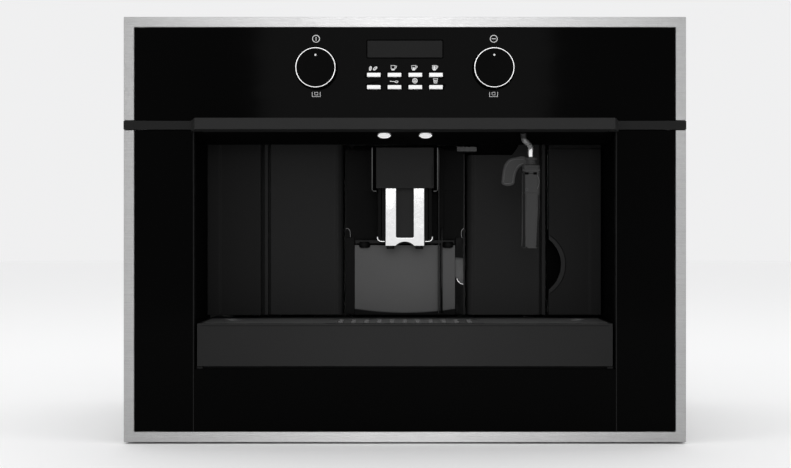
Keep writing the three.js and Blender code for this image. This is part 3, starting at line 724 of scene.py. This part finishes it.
bpy.ops.transform.translate(value=(0, sign_face, 0))
fit(settle(printed), "printed_signs", print_white)

# ----------------------------------------------------------
# Cup bay: moulded walls of glass-filled plastic with a fine spark-eroded grain, clipped to the
# casing. The walls are black, the panels at the back are dark grey.


def moulded(name, slot, low, high, shine=0.06, rough=0.5):
    finish = Finish(name, slot, Shine=shine)
    grain = finish.noise(1500, 2, 0.6)
    cloud = finish.noise(5, 2)
    wiped = finish.noise(28, 4, 0.6, stretch=(1, 1, 0.3))
    tone = finish.between(cloud, low, high)
    # The rounded edges are painted lighter: a painted edge highlight, in wear-like patches.
    return finish.surface(Base_Color=finish.between(finish.edge_sheen_and_wear(0.5), tone, high + 28),
                          Roughness=rough - 0.1 + 0.18 * grain + 0.05 * wiped,
                          Normal=finish.bump(grain, 0.3, 0.0001))


wall_black = moulded("wall_moulding", "grey_plastic", 2, 5, 0.02)
for node in ("niche_wall_left", "niche_wall_right"):
    dressed(node, wall_black, 0.8)
cheek_grey = moulded("cheek_moulding", "grey_plastic", 24, 27)
dressed("left_cheek_panel", cheek_grey, 1.0, 3)
shoulder_grey = moulded("shoulder_moulding", "grey_plastic", 34, 37)
dressed("left_shoulder_panel", shoulder_grey, 0.8, 3)

# The right shoulder is lower beside the door, where a black header shows above its sloped top: a
# black bar set back there as painted shade, for the deep shade under the ceiling.
right_shoulder = whole("right_shoulder_panel")
header_tool = block((60, 128), (90, 134), (309.6, 330))
for corner in header_tool.data.vertices:
    if corner.co.x > at(100, 0, 0).x:
        corner.co.x = at(121.5 if corner.co.z < at(0, 0, 320).z else 135, 0, 0).x
bored(right_shoulder, header_tool)
fit(round_edges(right_shoulder, 0.7, 3), "right_shoulder_form", shoulder_grey, "machine",
    "right_shoulder_panel")
fit(bar((74, 140), (109.5, 112), (300, 326.2), 0.5), "shoulder_header_shade", wall_black)

# Ribs on the shelf's underside and two feet carry the tray's weight.
shelf_grey = moulded("shelf_moulding", "grey_plastic", 7, 10)
dressed("tray_shelf", shelf_grey, 0.5)
fit(each_side((214, 220), (0.8, 5.6), (77.6, 79.9), 0.6, 3), "shelf_pads", rubber)

# ----------------------------------------------------------
# Lamp ceiling: a black moulding that slopes back from the handle, with two round lenses of
# frosted plastic, each pressed into a thin chromed bezel.
dressed("lamp_panel", wall_black, 0.5)
lens_white = mottled("lens_white", "white", (500, 2), 226, 246, 0.25, 0.2, glow=(150, 175),
                     Shine=0.3)
ceiling_slope = radians(18.73)
slope_down = Vector((0, -sin(ceiling_slope), -cos(ceiling_slope)))
fit(bar((161.7, 220.5), (95.1, 98), (316.15, 320.2), 0.15), "tank_header", cheek_grey)
for hand in ("left", "right"):
    lens_low, lens_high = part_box(f"lamp_lens_{hand}")
    middle = 1000 * ((lens_low + lens_high) / 2 - at(0, 0, 0))
    lens = drawn_out(middle, slope_down,
                     [(-1.4, 6.9), (1.0, 6.9), (1.5, 6.5), (1.7, 5.4), (1.5, 5.0), (1.75, 3.2),
                      (1.85, 0.8)], 40)
    fit(smoothed(lens, 50), f"lens_{hand}", lens_white, "machine", f"lamp_lens_{hand}")
    bezel = ring(middle + slope_down * 1.2, 7.2, 0.5,
                 turn=slope_down.to_track_quat("Z", "Y").to_euler())
    fit(bezel, f"lens_bezel_{hand}", chrome)

# ----------------------------------------------------------
# Service door: a black moulded door on two pins, through which the brewing unit is taken out.
# It carries the splash plate, the guide rails and the spout, and a latch at its upper corner.
door_black = moulded("door_moulding", "black_plastic", 4, 6)


def cut(piece, place, across, **settings):
    """Divides the piece by a plane. The settings say what is filled and cleared."""
    opened(piece)
    bpy.ops.mesh.bisect(plane_co=at(*place), plane_no=across, **settings)
    return only(piece)


def finger_oval(steps):
    """A turned form at the door's finger recess, stretched to an upright oval."""
    oval = drawn_out((67.5, 119.8, 188), (0, -1, 0), steps, 48)
    opened(oval)
    bpy.ops.transform.resize(value=(1, 1, 2), center_override=at(67.5, 108, 188))
    return cut(oval, (0, 0, 200.5), (0.12, 0, 1), use_fill=True, clear_outer=True)


door = round_edges(bored(whole("service_door"), finger_oval([(0, 13.6), (20, 13.6)])), 0.8, 3)
fit(door, "service_door_form", door_black, "door", "service_door")
fit(bar((-66, 66), (107.3, 108.6), (269, 314.6), 0.5), "door_upper_field",
    moulded("door_field_moulding", "black_plastic", 7, 9), "door")
# The thin lighter strips down the door's two free edges are painted highlights, brighter on the
# right than on the left.
fit(bar((66.6, 67.4), (106.9, 108.4), (129, 310), 0.2), "door_edge_right_highlight",
    moulded("door_edge_highlight_paint", "grey_plastic", 52, 66, 0.1), "door")
fit(bar((-67.4, -66.7), (107.1, 108.4), (129, 315), 0.2), "door_edge_left_highlight",
    moulded("door_seam_highlight_paint", "grey_plastic", 24, 32), "door")
bar_grey = moulded("door_bar_moulding", "black_plastic", 11, 14)
side_bars = each_side((57.4, 66.4), (106.4, 108.5), (129.5, 216), 0.5)
fit(bored(side_bars, finger_oval([(0, 13), (20, 13)])), "door_side_bars", bar_grey, "door")

# Hinge pins above and below, and the latch tab with its rounded lip.
for name, z0, z1 in (("upper", 315.2, 318.4), ("lower", 126.6, 129)):
    pin = upright(-64, 112, [(z0, 2.2), (z0 + 0.4, 2.6), (z1 - 0.4, 2.6), (z1, 2.2)], 20)
    fit(pin, f"door_pin_{name}", door_black, "door")
fit(bar((58.8, 81), (101.6, 104.6), (313.4, 318.6), 0.5, 3), "door_latch_tab",
    moulded("latch_moulding", "grey_plastic", 96, 106, 0.1), "door")
latch_neck = block((60, 67), (104, 109), (311.4, 317.6))
latch_lip = block((62, 79.5), (102.2, 104.6), (311.8, 313.6))
fit(round_edges(joined(latch_neck, latch_lip), 0.5), "door_latch_lip", door_black, "door")

# The finger recess at the right edge is a dished insert of bright sheet.
dish_metal = mottled("dish_steel", "brushed_steel", (300, 2), 62, 84, 0.3, 0.12, Metallic=1.0)
recess = cut(finger_oval([(0, 13.2), (13.2, 13.2), (13.2, 12.6), (1.2, 12.6), (0.9, 1)]),
             (66.5, 0, 0), (1, 0, 0), use_fill=True, clear_outer=True)
fit(outward(smoothed(recess, 35)), "door_finger_dish", dish_metal, "door")
dish_shine = drawn_line([(58.6, 107.4, 169.4), (60.6, 107.2, 166), (63.2, 107.2, 163.8),
                         (66, 107.4, 163)], 0.9, smooth=True)
fit(dish_shine, "door_dish_edge", chrome, "door")

# Splash plate: stainless sheet, bowed forward, with folded edges and a dark lip below it.
plate_metal = Finish("splash_steel", "brushed_steel", Metallic=1.0)
plate_grain = plate_metal.noise(9, 3, 0.6, stretch=(900, 40, 6))
plate_cloud = plate_metal.noise(14, 3)
# The plate is painted darker towards its top: painted shade.
plate_top_shade = plate_metal.ramp(plate_metal.along(2), 0.12, 0.22)
plate_shaded_tone = plate_metal.between(plate_top_shade, 74, 66)
plate_metal.surface(Base_Color=plate_metal.between(0.5 * plate_grain, plate_shaded_tone, 88),
                    Roughness=0.34 + 0.12 * plate_grain + 0.08 * plate_cloud,
                    Normal=plate_metal.bump(plate_grain, 0.12, 0.0001))
dressed("splash_plate", plate_metal, 0.5, 3)
half_plate = 57


def bowed(piece, reach):
    """Bends a piece forward in the middle, as the splash plate is."""
    for corner in piece.data.vertices:
        corner.co.y -= reach / 1000 * (1 - (1000 * corner.co.x / half_plate) ** 2)
    return piece


def divided(piece, cuts=16):
    """Extra cross divisions along X, so that a long piece can be bowed."""
    for index in range(1, cuts):
        cut(piece, (half_plate * (2 * index / cuts - 1), 0, 0), (1, 0, 0))
    return piece


lip = divided(block((-half_plate, half_plate), (105.3, 108.4), (128.6, 133)))
for corner in lip.data.vertices:
    if corner.co.z > at(0, 0, 130).z:
        corner.co.z = at(0, 0, 130.8 + 4.4 * (1000 * corner.co.x / half_plate) ** 2).z
fit(round_edges(bowed(lip, 2.6), 0.4, 2, 50), "splash_lower_lip", bar_grey, "door")
hem = [(x, 102.5 + 2.6 * (x / half_plate) ** 2, 131.2 + 4.4 * (x / half_plate) ** 2)
       for x in range(-56, 57, 8)]
fit(drawn_line(hem, 0.4), "splash_hem", plate_metal, "door")
ledge = bowed(divided(block((-56.5, 56.5), (101.6, 108.4), (208.8, 213.6))), 2.8)
fit(round_edges(ledge, 1.2, 4, 50), "splash_ledge",
    moulded("ledge_moulding", "black_plastic", 17, 22, 0.12, 0.3), "door")


def notched(piece, x, y, long, wide, z, angles):
    """Grooves across a turned end, each turned by its own angle round the piece's middle."""
    for angle in angles:
        notch = only(block((x - long, x + long), (y - wide, y + wide), z))
        bpy.ops.transform.rotate(value=angle, orient_axis="Z", center_override=at(x, y, 0))
        bored(piece, settle(notch))
    return piece


for name, x in (("left", -45.6), ("right", 48.4)):
    cap = drawn_out((x, 101.5, 0), (0, 0, -1),
                    [(-211, 5.6), (-208.4, 6.4), (-205.4, 6), (-204.4, 4.6), (-204.2, 3.2)], 24)
    notched(cap, x, 101.5, 8, 0.6, (203.6, 205), (0.4, 1.45, 2.5))
    fit(round_edges(cap, 0.2), f"splash_cap_{name}", door_black, "door")

# Chromed round bars guide the spout's carriage on the right, and stand before the splash plate.
rail_metal = mottled("guide_chrome", "chrome", (240, 2), 48, 60, 0.12, 0.1, Metallic=1.0)
rails = [upright(x, 100.6, [(130.2, 0.5), (130.6, radius), (top - 0.4, radius), (top, 0.5)], 16)
         for x, radius, top in ((38.3, 0.85, 316), (41.8, 0.8, 228.2))]
fit(smoothed(joined(*rails), 40), "guide_bars", rail_metal, "door")
fit([bar((39.4, 43.2), (99.4, 102), (228, 316), 0.3),
     bar((36.9, 43.6), (99.2, 108.2), (128.7, 130.6), 0.4),
     bar((36.9, 43.6), (99.2, 108.2), (315, 316.6), 0.4),
     bar((39.9, 41.5), (101.4, 102.2), (130, 228.4), 0.2)], "guide_channel", door_black, "door")

# Bright rounded corners of the frame under the door's upper field.
corner_metal = mottled("corner_chrome", "chrome", (400, 2), 96, 120, 0.2, 0.1, Metallic=1.0)
corners = [
    drawn_line([(-67, 107.5, 226.3), (-64.2, 107.3, 225.8), (-62.3, 107.2, 223.6),
                (-61.9, 107.2, 220.4), (-61.8, 107.4, 216.4)], 0.55, smooth=True),
    drawn_line([(66.6, 107.5, 226.4), (64.6, 107.3, 224.6), (63.9, 107.2, 220.6),
                (64.5, 107.2, 216.4), (66.4, 107.4, 214)], 0.75, smooth=True)]
fit(corners, "door_corner_beads", corner_metal, "door")

# ----------------------------------------------------------
# Spout: a moulded housing on the door, two black guide cheeks under it, and a carriage with two
# chromed columns that slides up and down between them. The coffee leaves through two nozzles.
dressed("spout_housing", moulded("housing_moulding", "grey_plastic", 33, 36), 1.0, 3)
fit(bar((29.6, 30.1), (59.6, 60.4), (273, 296), 0.12), "housing_seam", door_black, "door")
dressed("spout_trim", rail_metal, 0.5, 3)
fit(each_side((26, 30.3), (67.6, 99.8), (213.4, 270.8), 1.2, 3), "guide_cheeks", door_black, "door")
cheek_feet = [drawn_line([(side * 30.4, 67.6, 217), (side * 29.9, 67.6, 214.2),
                          (side * 28, 67.6, 212.4), (side * 25.4, 67.6, 211.9),
                          (side * 22.4, 67.6, 211.9)], 0.75, smooth=True) for side in (-1, 1)]
fit(cheek_feet, "cheek_feet", chrome, "door")

dressed("spout_carriage", moulded("carriage_moulding", "grey_plastic", 36, 40), 0.6)
start_clean()
bpy.ops.mesh.primitive_cylinder_add(vertices=64, radius=0.0138, depth=0.02,
                                    location=at(0, 68, 197.6), rotation=(pi / 2, 0, 0))
arch_tool = settle(bpy.context.object)
columns = bored(block((-21.5, 21.5), (67.2, 70.4), (206.8, 273)),
                block((-9.3, 9.3), (60, 76), (216.2, 280)), arch_tool)
fit(round_edges(columns, 0.7, 4), "spout_columns", chrome, "spout")
fit([bar((x - 0.3, x + 0.3), (66.9, 68), (217, 272), 0.12) for x in (-9.6, 9.6, -21.9, 21.9)],
    "column_joints", door_black, "spout")

nozzle = drawn_out((0, 0, 0), (0, 0, -1),
                   [(-4, 3.9), (0, 3.9), (2.6, 3.9), (3.3, 3.5), (3.3, 2.4), (-2, 2.4)], 24)
notched(nozzle, 0, 0, 6, 0.55, (-4.2, -2.3), (0, pi / 3, 2 * pi / 3))
nozzle = pattern_of(round_edges(nozzle, 0.15, 1))
fit(set_in(nozzle, [((side * 16, 72, 206.9), (0, 0, 1)) for side in (-1, 1)]), "nozzle_tips",
    rubber, "spout")

# ----------------------------------------------------------
# Steam wand: a chromed tube that comes out of the lamp ceiling in a bend, a moulded collar with
# a curved grip, and a frother sleeve that pulls down off the tube for cleaning.
tube_metal = Finish("tube_chrome", "chrome", Metallic=0.8)
tube_haze = tube_metal.noise(260, 2)
# Above the ceiling line the tube is painted dark and rougher: painted shade, where it comes out of
# the dark ceiling.
tube_top_painted_shade = tube_metal.ramp(tube_metal.along(2), 0.318, 0.322)
tube_metal.surface(Base_Color=tube_metal.between(tube_top_painted_shade, 240, 52),
                   Roughness=0.1 + 0.12 * tube_haze + 0.4 * tube_top_painted_shade)
fit(smoothed(whole("steam_tube"), 60), "steam_tube_form", tube_metal, "wand", "steam_tube")
wand_x, wand_y = 135.2, 25
inlet = drawn_line([(125.4, 3.6, 328), (125.7, 5.4, 325.6), (126, 8, 322.9)], 3.1, smooth=True)
fit(inlet, "wand_inlet", tube_metal)

wand_grey = moulded("wand_moulding", "grey_plastic", 53, 58, 0.12, 0.45)
collar = upright(wand_x, wand_y, [(294.1, 6.1), (294.8, 6.7), (296, 6.7), (296.4, 5.7),
                                  (299.2, 5.7), (299.6, 6.9), (301.7, 6.9), (302.3, 6.4)], 40)
bored(collar, upright(wand_x, wand_y, [(290, 3.9), (306, 3.9)], 40))
smoothed(collar, 30)
grip_points = [(129.6, 301.4), (118, 301.5), (112.7, 300), (108.7, 296), (106.6, 290.8),
               (105.5, 284.6), (104.9, 278.2), (104.9, 275), (106, 273.7), (115.4, 273.7),
               (116.7, 275), (117.3, 278.5), (118.4, 284.6), (120.3, 289.4), (123.4, 293),
               (126.6, 294.6), (129.6, 294.8)]
grip = traced([(x / 1000, z / 1000, 0) for x, z in grip_points], True, True, dimensions="2D",
              fill_mode="BOTH", extrude=0.0012, bevel_depth=0.0009)
grip.rotation_euler = (pi / 2, 0, 0)
grip.location = at(0, 24, 0)
grip = smoothed(outward(settle(grip)), 40)
fit([collar, grip], "wand_collar", wand_grey, "wand", "wand_grip")
# A lighter grey wire round the grip's outer edge, a brighter one at its foot and a thin ring round
# the collar are painted highlights.
rim_points = [(127.5, 300.2), (118.2, 300.2), (113.5, 298.8), (109.9, 295.2), (107.9, 290.4),
              (106.8, 284.4), (106.2, 278.2), (106.2, 275.6), (107, 275), (114.6, 275),
              (115.4, 275.8), (115.9, 278.8), (117.1, 285), (119.2, 290.2), (122.8, 294.4),
              (127.5, 296)]
rim = drawn_line([(x, 22, z) for x, z in rim_points], 0.42, smooth=True)
rim_highlight_grey = moulded("wand_rim_highlight_paint", "grey_plastic", 68, 78, 0.15, 0.35)
foot_highlight = drawn_line([(106.6, 21.9, 274.6), (110, 21.7, 274.3), (113, 21.9, 274.6)], 0.6,
                        smooth=True)
collar_highlight = ring((wand_x, wand_y, 295.4), 6.4, 0.4)
fit([rim, foot_highlight, collar_highlight], "wand_grip_highlights", rim_highlight_grey, "wand")

sleeve = cut(block((125.8, 144.6), (15.6, 34.4), (205, 293.7)), (0, 0, 252), (0, 0, 1))
for corner in sleeve.data.vertices:
    if corner.co.z < at(0, 0, 210).z:
        corner.co.x -= 0.0022 if corner.co.x > at(wand_x, 0, 0).x else -0.0006
        corner.co.y += 0.0016 if corner.co.y < at(0, wand_y, 0).y else -0.0016
corners = sleeve.data.vertices
choose(sleeve, lambda edge: (abs(corners[edge.vertices[0]].co.z - corners[edge.vertices[1]].co.z)
                             > 0.02), "EDGE")
bpy.ops.mesh.bevel(offset=0.0042, segments=5, profile=0.5)
slot_spots = (130.4, 139.2)
bored(sleeve, upright(wand_x, wand_y, [(200, 5.5), (296, 5.5)], 32),
      *[bored(block((120, 150), (10, 40), (z - 0.22, z + 0.22)),
              block((126.25, 144.15), (16.05, 33.95), (z - 1, z + 1))) for z in (264.2, 291.4)],
      *[block((x - 0.2, x + 0.2), (14, 16.1), (206, 262)) for x in (129.6, 141.4)],
      *[block((x - 1.9, x + 1.9), (14, 18), (283.7, 286.3)) for x in slot_spots],
      block((127, 131.4), (10, 22), (200, 206.4)))
fit(round_edges(sleeve, 0.3, 2, 40), "frother_sleeve_form",
    moulded("sleeve_moulding", "grey_plastic", 51, 56, 0.12, 0.45), "frother", "frother_sleeve")
fit([*[bar((x - 1.8, x + 1.8), (16.6, 20), (283.8, 286.2), 0.3) for x in slot_spots],
     block((131, 139), (15.5, 15.9), (284.7, 285.1))], "sleeve_slots", wall_black, "frother")
# Darker bands down the sleeve's left side and by its right edge are painted shade.
side_band = joined(block((125.75, 128.6), (15.35, 19.6), (206, 263.8)),
                   block((125.75, 128.3), (15.35, 19.6), (264.6, 286.4)),
                   block((143.1, 143.9), (15.5, 19), (206, 262)))
for corner in side_band.data.vertices:
    if corner.co.z < at(0, 0, 210).z:
        corner.co.y += 0.0015
        corner.co.x -= 0.0019 if corner.co.x > at(wand_x, 0, 0).x else 0
# The lighter grey line down the sleeve's left edge is a painted highlight; the button's outline and
# ring are drawn in the same grey.
button = drawn_line([(141.2, 15.6, 283), (142.8, 15.9, 280), (143.5, 16.3, 276.2),
                     (142.9, 15.9, 272.2), (141.4, 15.6, 268.8)], 0.5, smooth=True)
sleeve_edge_highlight = drawn_line([(125.8, 16.8, 285), (125.8, 16.8, 245), (125.3, 17.6, 207)], 0.3)
button_ring = drawn_line([(x + 130.2, 15.5, z + 268) for x, z in round_of(0, 0, 1.3, 1.3)], 0.25)
sleeve_painted_shade_grey = moulded("sleeve_shade_paint", "grey_plastic", 13, 18, 0.1)
fit(round_edges(side_band, 0.3), "sleeve_painted_shade_band", sleeve_painted_shade_grey, "frother")
fit([button, button_ring, sleeve_edge_highlight], "sleeve_button_and_highlight", rim_highlight_grey, "frother")
flange = bored(bar((125.6, 144.8), (15.4, 34.6), (286.6, 290.8), 4, 5),
               upright(wand_x, wand_y, [(280, 6), (296, 6)], 32))
fit(flange, "sleeve_band", wand_grey, "frother")
tip = drawn_out((wand_x, wand_y, 0), (0, 0, -1),
                [(-234, 3.1), (-226, 4.2), (-216, 4.2), (-211, 3.2), (-209, 2), (-209.4, 0.8)], 24)
fit(smoothed(tip, 30), "steam_tip", chrome, "wand")

# ----------------------------------------------------------
# Drip tray: a moulded basin behind a lacquered front, with a slotted cup grille laid in it and a
# float in its back part. The float's magnet tells the machine when the tray is full.
tray_lacquer = Finish("tray_lacquer", "dark_metal", Metallic=0.1, Shine=0.12)
tray_peel = tray_lacquer.noise(1300, 2)
tray_cloud = tray_lacquer.noise(7, 3)
# The lacquer is painted lighter in the middle and darker towards the left and right ends: painted
# light, falling off to the sides.
tray_painted_falloff = tray_lacquer.ramp(abs(tray_lacquer.along(0)), 0.05, 0.24)
tray_painted_tone = tray_lacquer.between(tray_painted_falloff, 33, 23)
# The rounded edges are painted lighter: a painted edge highlight, in wear-like patches.
tray_lacquer.surface(Base_Color=tray_lacquer.between(0.06 * tray_cloud + tray_lacquer.edge_sheen_and_wear(0.5),
                                                     tray_painted_tone, 70),
                     Roughness=0.42 + 0.15 * tray_peel,
                     Normal=tray_lacquer.bump(tray_peel, 0.15, 0.0001))
dressed("drip_tray", tray_lacquer, 0.9, 3)
grille_metal = Finish("grille_lacquer", "dark_metal", Metallic=0.3, Shine=0.2)
grille_peel = grille_metal.noise(1300, 2)
grille_cloud = grille_metal.noise(22, 3)
# The rounded edges are painted lighter: a painted edge highlight, in wear-like patches.
grille_metal.surface(Base_Color=grille_metal.between(0.4 * grille_cloud + grille_metal.edge_sheen_and_wear(0.25),
                                                     98, 128), Roughness=0.32 + 0.15 * grille_peel,
                     Normal=grille_metal.bump(grille_peel, 0.15, 0.0001))
dressed("cup_grille", grille_metal, 0.45)
fit([ring((x, 66, 125.2), 9.4, 0.6, 40) for x in (-190, 190)], "grille_finger_rims", grille_metal,
    "grille")
arcs = [drawn_line([(x, y + reach * (1 - (x / half) ** 2), 125.25)
                    for x in [half * step / 12 for step in range(-12, 13)]], 0.35)
        for half, y, reach in ((84, 76, 6), (80, 72.6, 5), (84, 9.6, -3))]
fit(arcs, "grille_arcs", rail_metal, "grille")
fit([bar((x - 6.4, x + 6.4), (97, 113), (125.3, 126.1), 0.3) for x in (-53, 42)], "tray_inserts",
    door_black, "tray")
fit(bar((-216, 216), (0.35, 1.6), (122.9, 123.5), 0.2), "tray_front_line", bar_grey, "tray")
fit(each_side((211, 217), (2, 9), (79.95, 80.9), 0.3), "tray_feet", rubber, "tray")

float_body = whole("tray_float")
choose(float_body, lambda face: abs(face.normal.z) < 0.5)
bpy.ops.mesh.inset(thickness=0.0015, depth=-0.0012, use_individual=True)
fit(round_edges(float_body, 0.5, 3), "float_body",
    moulded("float_moulding", "white", 200, 226, 0.3, 0.4), "float", "tray_float")

grounds_black = moulded("grounds_moulding", "black_plastic", 15, 21, 0.1)
dressed("grounds_container", grounds_black, 1.2, 3)
fit([bar((-30, 30), (118.6, 122.6), (120.5, 126), 1.2, 3),
     *[bar((x - 0.8, x + 0.8), (121.2, 122.4), (86, 122), 0.35) for x in range(-50, 51, 10)]],
    "grounds_ribs", grounds_black, "container")

# ----------------------------------------------------------
# Water tank: a smoked clear moulding behind a grey front with a half-round finger recess. The
# front is the bay's right-hand back panel, and the tank slides out with it.
smoked = mottled("smoked_plastic", "smoked", (18, 3), 92, 116, 0.06, 0.14, grain=(300, 3),
                 Shine=0.5, Transmission_Weight=0.55)
dressed("water_tank", smoked, 1.0, 3)
tank_rim = bored(bar((161.4, 220.4), (123, 351), (311, 316), 1.2, 3),
                 block((165, 217), (126.4, 347.6), (300, 320)))
tank_ribs = [bar((219.3, 220.1), (y - 1.2, y + 1.2), (136, 308), 0.35) for y in range(150, 301, 50)]
fit([tank_rim, *tank_ribs], "tank_rim", smoked, "tank")
valve = drawn_out((190, 330, 0), (0, 0, -1),
                  [(-134, 9), (-130.4, 9), (-130.4, 7), (-129.4, 6.6), (-129.4, 3), (-131, 3)], 28)
fit(round_edges(valve, 0.3), "tank_valve", rubber, "tank")

dressed("tank_front", moulded("tank_front_moulding", "grey_plastic", 26, 29), 0.9, 3)
rim_outer = drawn_out((142.1, 94.2, 185.7), (0, 1, 0), [(0, 38.4), (2.6, 38.4)], 96)
rim_inner = drawn_out((139.7, 90, 185.7), (0, 1, 0), [(0, 35.9), (12, 35.9)], 96)
crescent = bored(rim_outer, rim_inner, block((90, 162), (80, 110), (120, 240)))
fit(round_edges(crescent, 0.5, 3), "tank_recess_rim",
    moulded("recess_rim_moulding", "grey_plastic", 40, 44), "tank")
outline_arc = drawn_line([(142.1 + 38.7 * cos(a / 20), 94.9, 185.7 + 38.7 * sin(a / 20))
                          for a in range(-20, 21)], 0.35)
fit(outline_arc, "tank_recess_line", wall_black, "tank")
dish = bored(block((162, 183.4), (101.2, 123.6), (146, 225)),
             block((150, 182.2), (90, 122.6), (147.2, 223.8)))
fit(round_edges(dish, 0.4), "tank_recess_dish", wall_black, "tank")

# ----------------------------------------------------------
# Boiler and pump: a pressed stainless boiler in a foam jacket with a flange and fittings, and a
# vibrating pump in its steel frame with rubber mounts.
foam = Finish("boiler_foam", "black_plastic", Shine=0.05)
foam_cells = foam.node("TexVoronoi", {}, {"Vector": foam.place, "Scale": 700.0})
foam.surface(Base_Color=foam.between(foam_cells, 22, 44), Roughness=0.9,
             Normal=foam.bump(foam_cells, 0.6, 0.0004))
dressed("boiler", foam, 2.0, 3)
boiler_foot, boiler_top = (1000 * (corner.z - lower_edge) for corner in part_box("boiler"))
flange_plate = drawn_out((-130, 220, boiler_top), (0, 0, 1),
                         [(0, 30), (3, 30), (3.4, 29), (3.4, 14), (9, 13), (10, 11), (10, 2)], 36)
studs = set_in(screw, [((-130 + 24 * cos(a * pi / 3), 220 + 24 * sin(a * pi / 3),
                         boiler_top + 3.2), (0, 0, 1)) for a in range(6)])
elbow = drawn_line([(-150, 220, boiler_top + 2), (-150, 220, boiler_top + 14),
                    (-156, 220, boiler_top + 19), (-170, 220, boiler_top + 19)], 2.4, smooth=True)
fit([round_edges(flange_plate, 0.4), studs, elbow], "boiler_head", screw_steel)
straps = [drawn_out((-130, 220, z), (0, 0, 1), [(0, 45.2), (0, 45.9), (9, 45.9), (9, 45.2)], 48)
          for z in (boiler_foot + 18, boiler_top - 30)]
fit(straps, "boiler_straps", zinc)

dressed("pump", zinc, 1.4, 3)
pump_low, pump_high = (1000 * (corner - at(0, 0, 0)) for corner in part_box("pump"))
coil = drawn_out(((pump_low.x + pump_high.x) / 2, (pump_low.y + pump_high.y) / 2, pump_high.z),
                 (0, 0, 1), [(0, 11), (4, 11), (5, 10), (5, 4), (16, 3.6), (17, 2.8)], 28)
fit(round_edges(coil, 0.3), "pump_head", board_black)

# ----------------------------------------------------------
# Grinder and bean hopper: a moulded grinder body with a motor, ceramic-coated burrs on a steel
# carrier, a smoked hopper with a lid at the top, and a notched dial for the grind.
dressed("grinder_body", board_black, 1.0, 3)
burr_steel = mottled("burr_steel", "brushed_steel", (700, 3), 150, 200, 0.25, 0.2, 0.2,
                     Metallic=1.0)
dressed("grinder_burr", burr_steel, 0.3)
dressed("bean_hopper", smoked, 0.8, 3)
lid_black = moulded("lid_moulding", "black_plastic", 14, 20, 0.15, 0.4)
dressed("hopper_lid", lid_black, 1.2, 4)
fit([bar((88, 137), (120, 129.5), (444.2, 447.4), 1.1, 4),
     *[bar((45, 180), (y - 0.7, y + 0.7), (444.2, 445), 0.3) for y in range(140, 262, 10)]],
    "lid_grip", lid_black, "lid")
lid_seal = bored(block((39.5, 185.5), (125.5, 274.5), (439, 441.2)),
                 block((42, 183), (128, 272), (430, 450)))
fit(round_edges(lid_seal, 0.4), "lid_seal", rubber, "lid")
fit([bar((42.5, 182.5), (y - 0.8, y + 0.8), (439.4, 441.2), 0.3) for y in range(150, 241, 30)],
    "lid_inner_ribs", lid_black, "lid")
lid_hinges = [drawn_out((0, 279, 443), (1, 0, 0), [(x - 9, 1.6), (x - 8.6, 2), (x + 8.6, 2),
                                                      (x + 9, 1.6)], 20) for x in (60, 165)]
fit(lid_hinges, "lid_hinge_knuckles", screw_steel, "lid")

dial = upright(222, 200, [(430, 4), (440.8, 4), (440.8, 13), (447.6, 12.4), (448.4, 11.6),
                          (448.4, 10), (447.9, 9.4), (447.9, 1)], 48)
choose(dial, lambda face: (abs(face.normal.z) < 0.3 and face.index % 3 == 0
                           and (face.center - at(222, 200, 0)).xy.length > 0.012))
bpy.ops.mesh.inset(thickness=0.0002, depth=-0.0006, use_individual=True)
fit(smoothed(dial, 30), "grind_dial_body", lid_black, "grind_selector", "grind_dial")
fit(bar((221.3, 222.7), (188.6, 197), (447.8, 448.5), 0.2), "grind_dial_pointer", print_white,
    "grind_selector")
marks = [drawn_out((222 + 18 * cos(a), 200 + 18 * sin(a), 440), (0, 0, 1),
                   [(0, 0.6 + 0.12 * index), (0.55, 0.6 + 0.12 * index)], 16)
         for index, a in enumerate([-pi / 2 + 0.75 * step for step in range(7)])]
fit(marks, "grind_marks", print_white)

# ----------------------------------------------------------
# Brewing unit: a moulded frame with the brewing chamber, a brass spindle with a trapezoidal
# thread, and the piston on its nut, which the spindle drives down into the chamber.
dressed("brew_frame", moulded("brew_moulding", "black_plastic", 18, 26, 0.12), 0.9, 3)
brass = Finish("turned_brass", "brass", Metallic=1.0)
brass_turning = brass.noise(8, 3, stretch=(3, 3, 300))
brass_dull = brass.noise(30, 3)
brass.surface(Base_Color=brass.between(0.6 * brass_turning + 0.4 * brass_dull, (0.42, 0.3, 0.11),
                                       (0.62, 0.47, 0.22)),
              Roughness=0.22 + 0.15 * brass_turning + 0.1 * brass_dull,
              Normal=brass.bump(brass_turning, 0.1, 0.0001))
dressed("brew_piston", brass, 0.4)
spindle = upright(38, 205, [(184.3, 3.6), (185, 4.5), (302, 4.5), (302, 9), (301.4, 9.6),
                            (301.4, 12), (302, 12.6), (302, 20), (310, 20), (310, 12.6), (309, 12),
                            (309, 8), (312, 7.4), (312, 4.5), (313.7, 4)], 72)
choose(spindle, lambda face: (abs(face.normal.z) < 0.1 and face.index % 2 == 0
                              and (face.center - at(38, 205, 0)).xy.length > 0.0198))
bpy.ops.mesh.inset(thickness=0.0001, depth=-0.0019, use_individual=True)
fit(smoothed(spindle, 30), "spindle_with_gear", brass, "spindle", "brew_spindle")
thread_pitch, thread_turns = 10, 11
thread = drawn_line([(38 + 5.1 * cos(a * pi / 6), 205 + 5.1 * sin(a * pi / 6),
                      188 + thread_pitch * a / 12) for a in range(12 * thread_turns)], 0.75)
fit(thread, "spindle_thread", brass, "spindle")
seal = upright(-15, 205, [(234.2, 20), (234.2, 22.6), (233.4, 23.7), (235, 23.7), (237, 22.6),
                          (237, 20)], 48)
fit(round_edges(outward(seal), 0.2), "piston_seal", rubber, "piston")
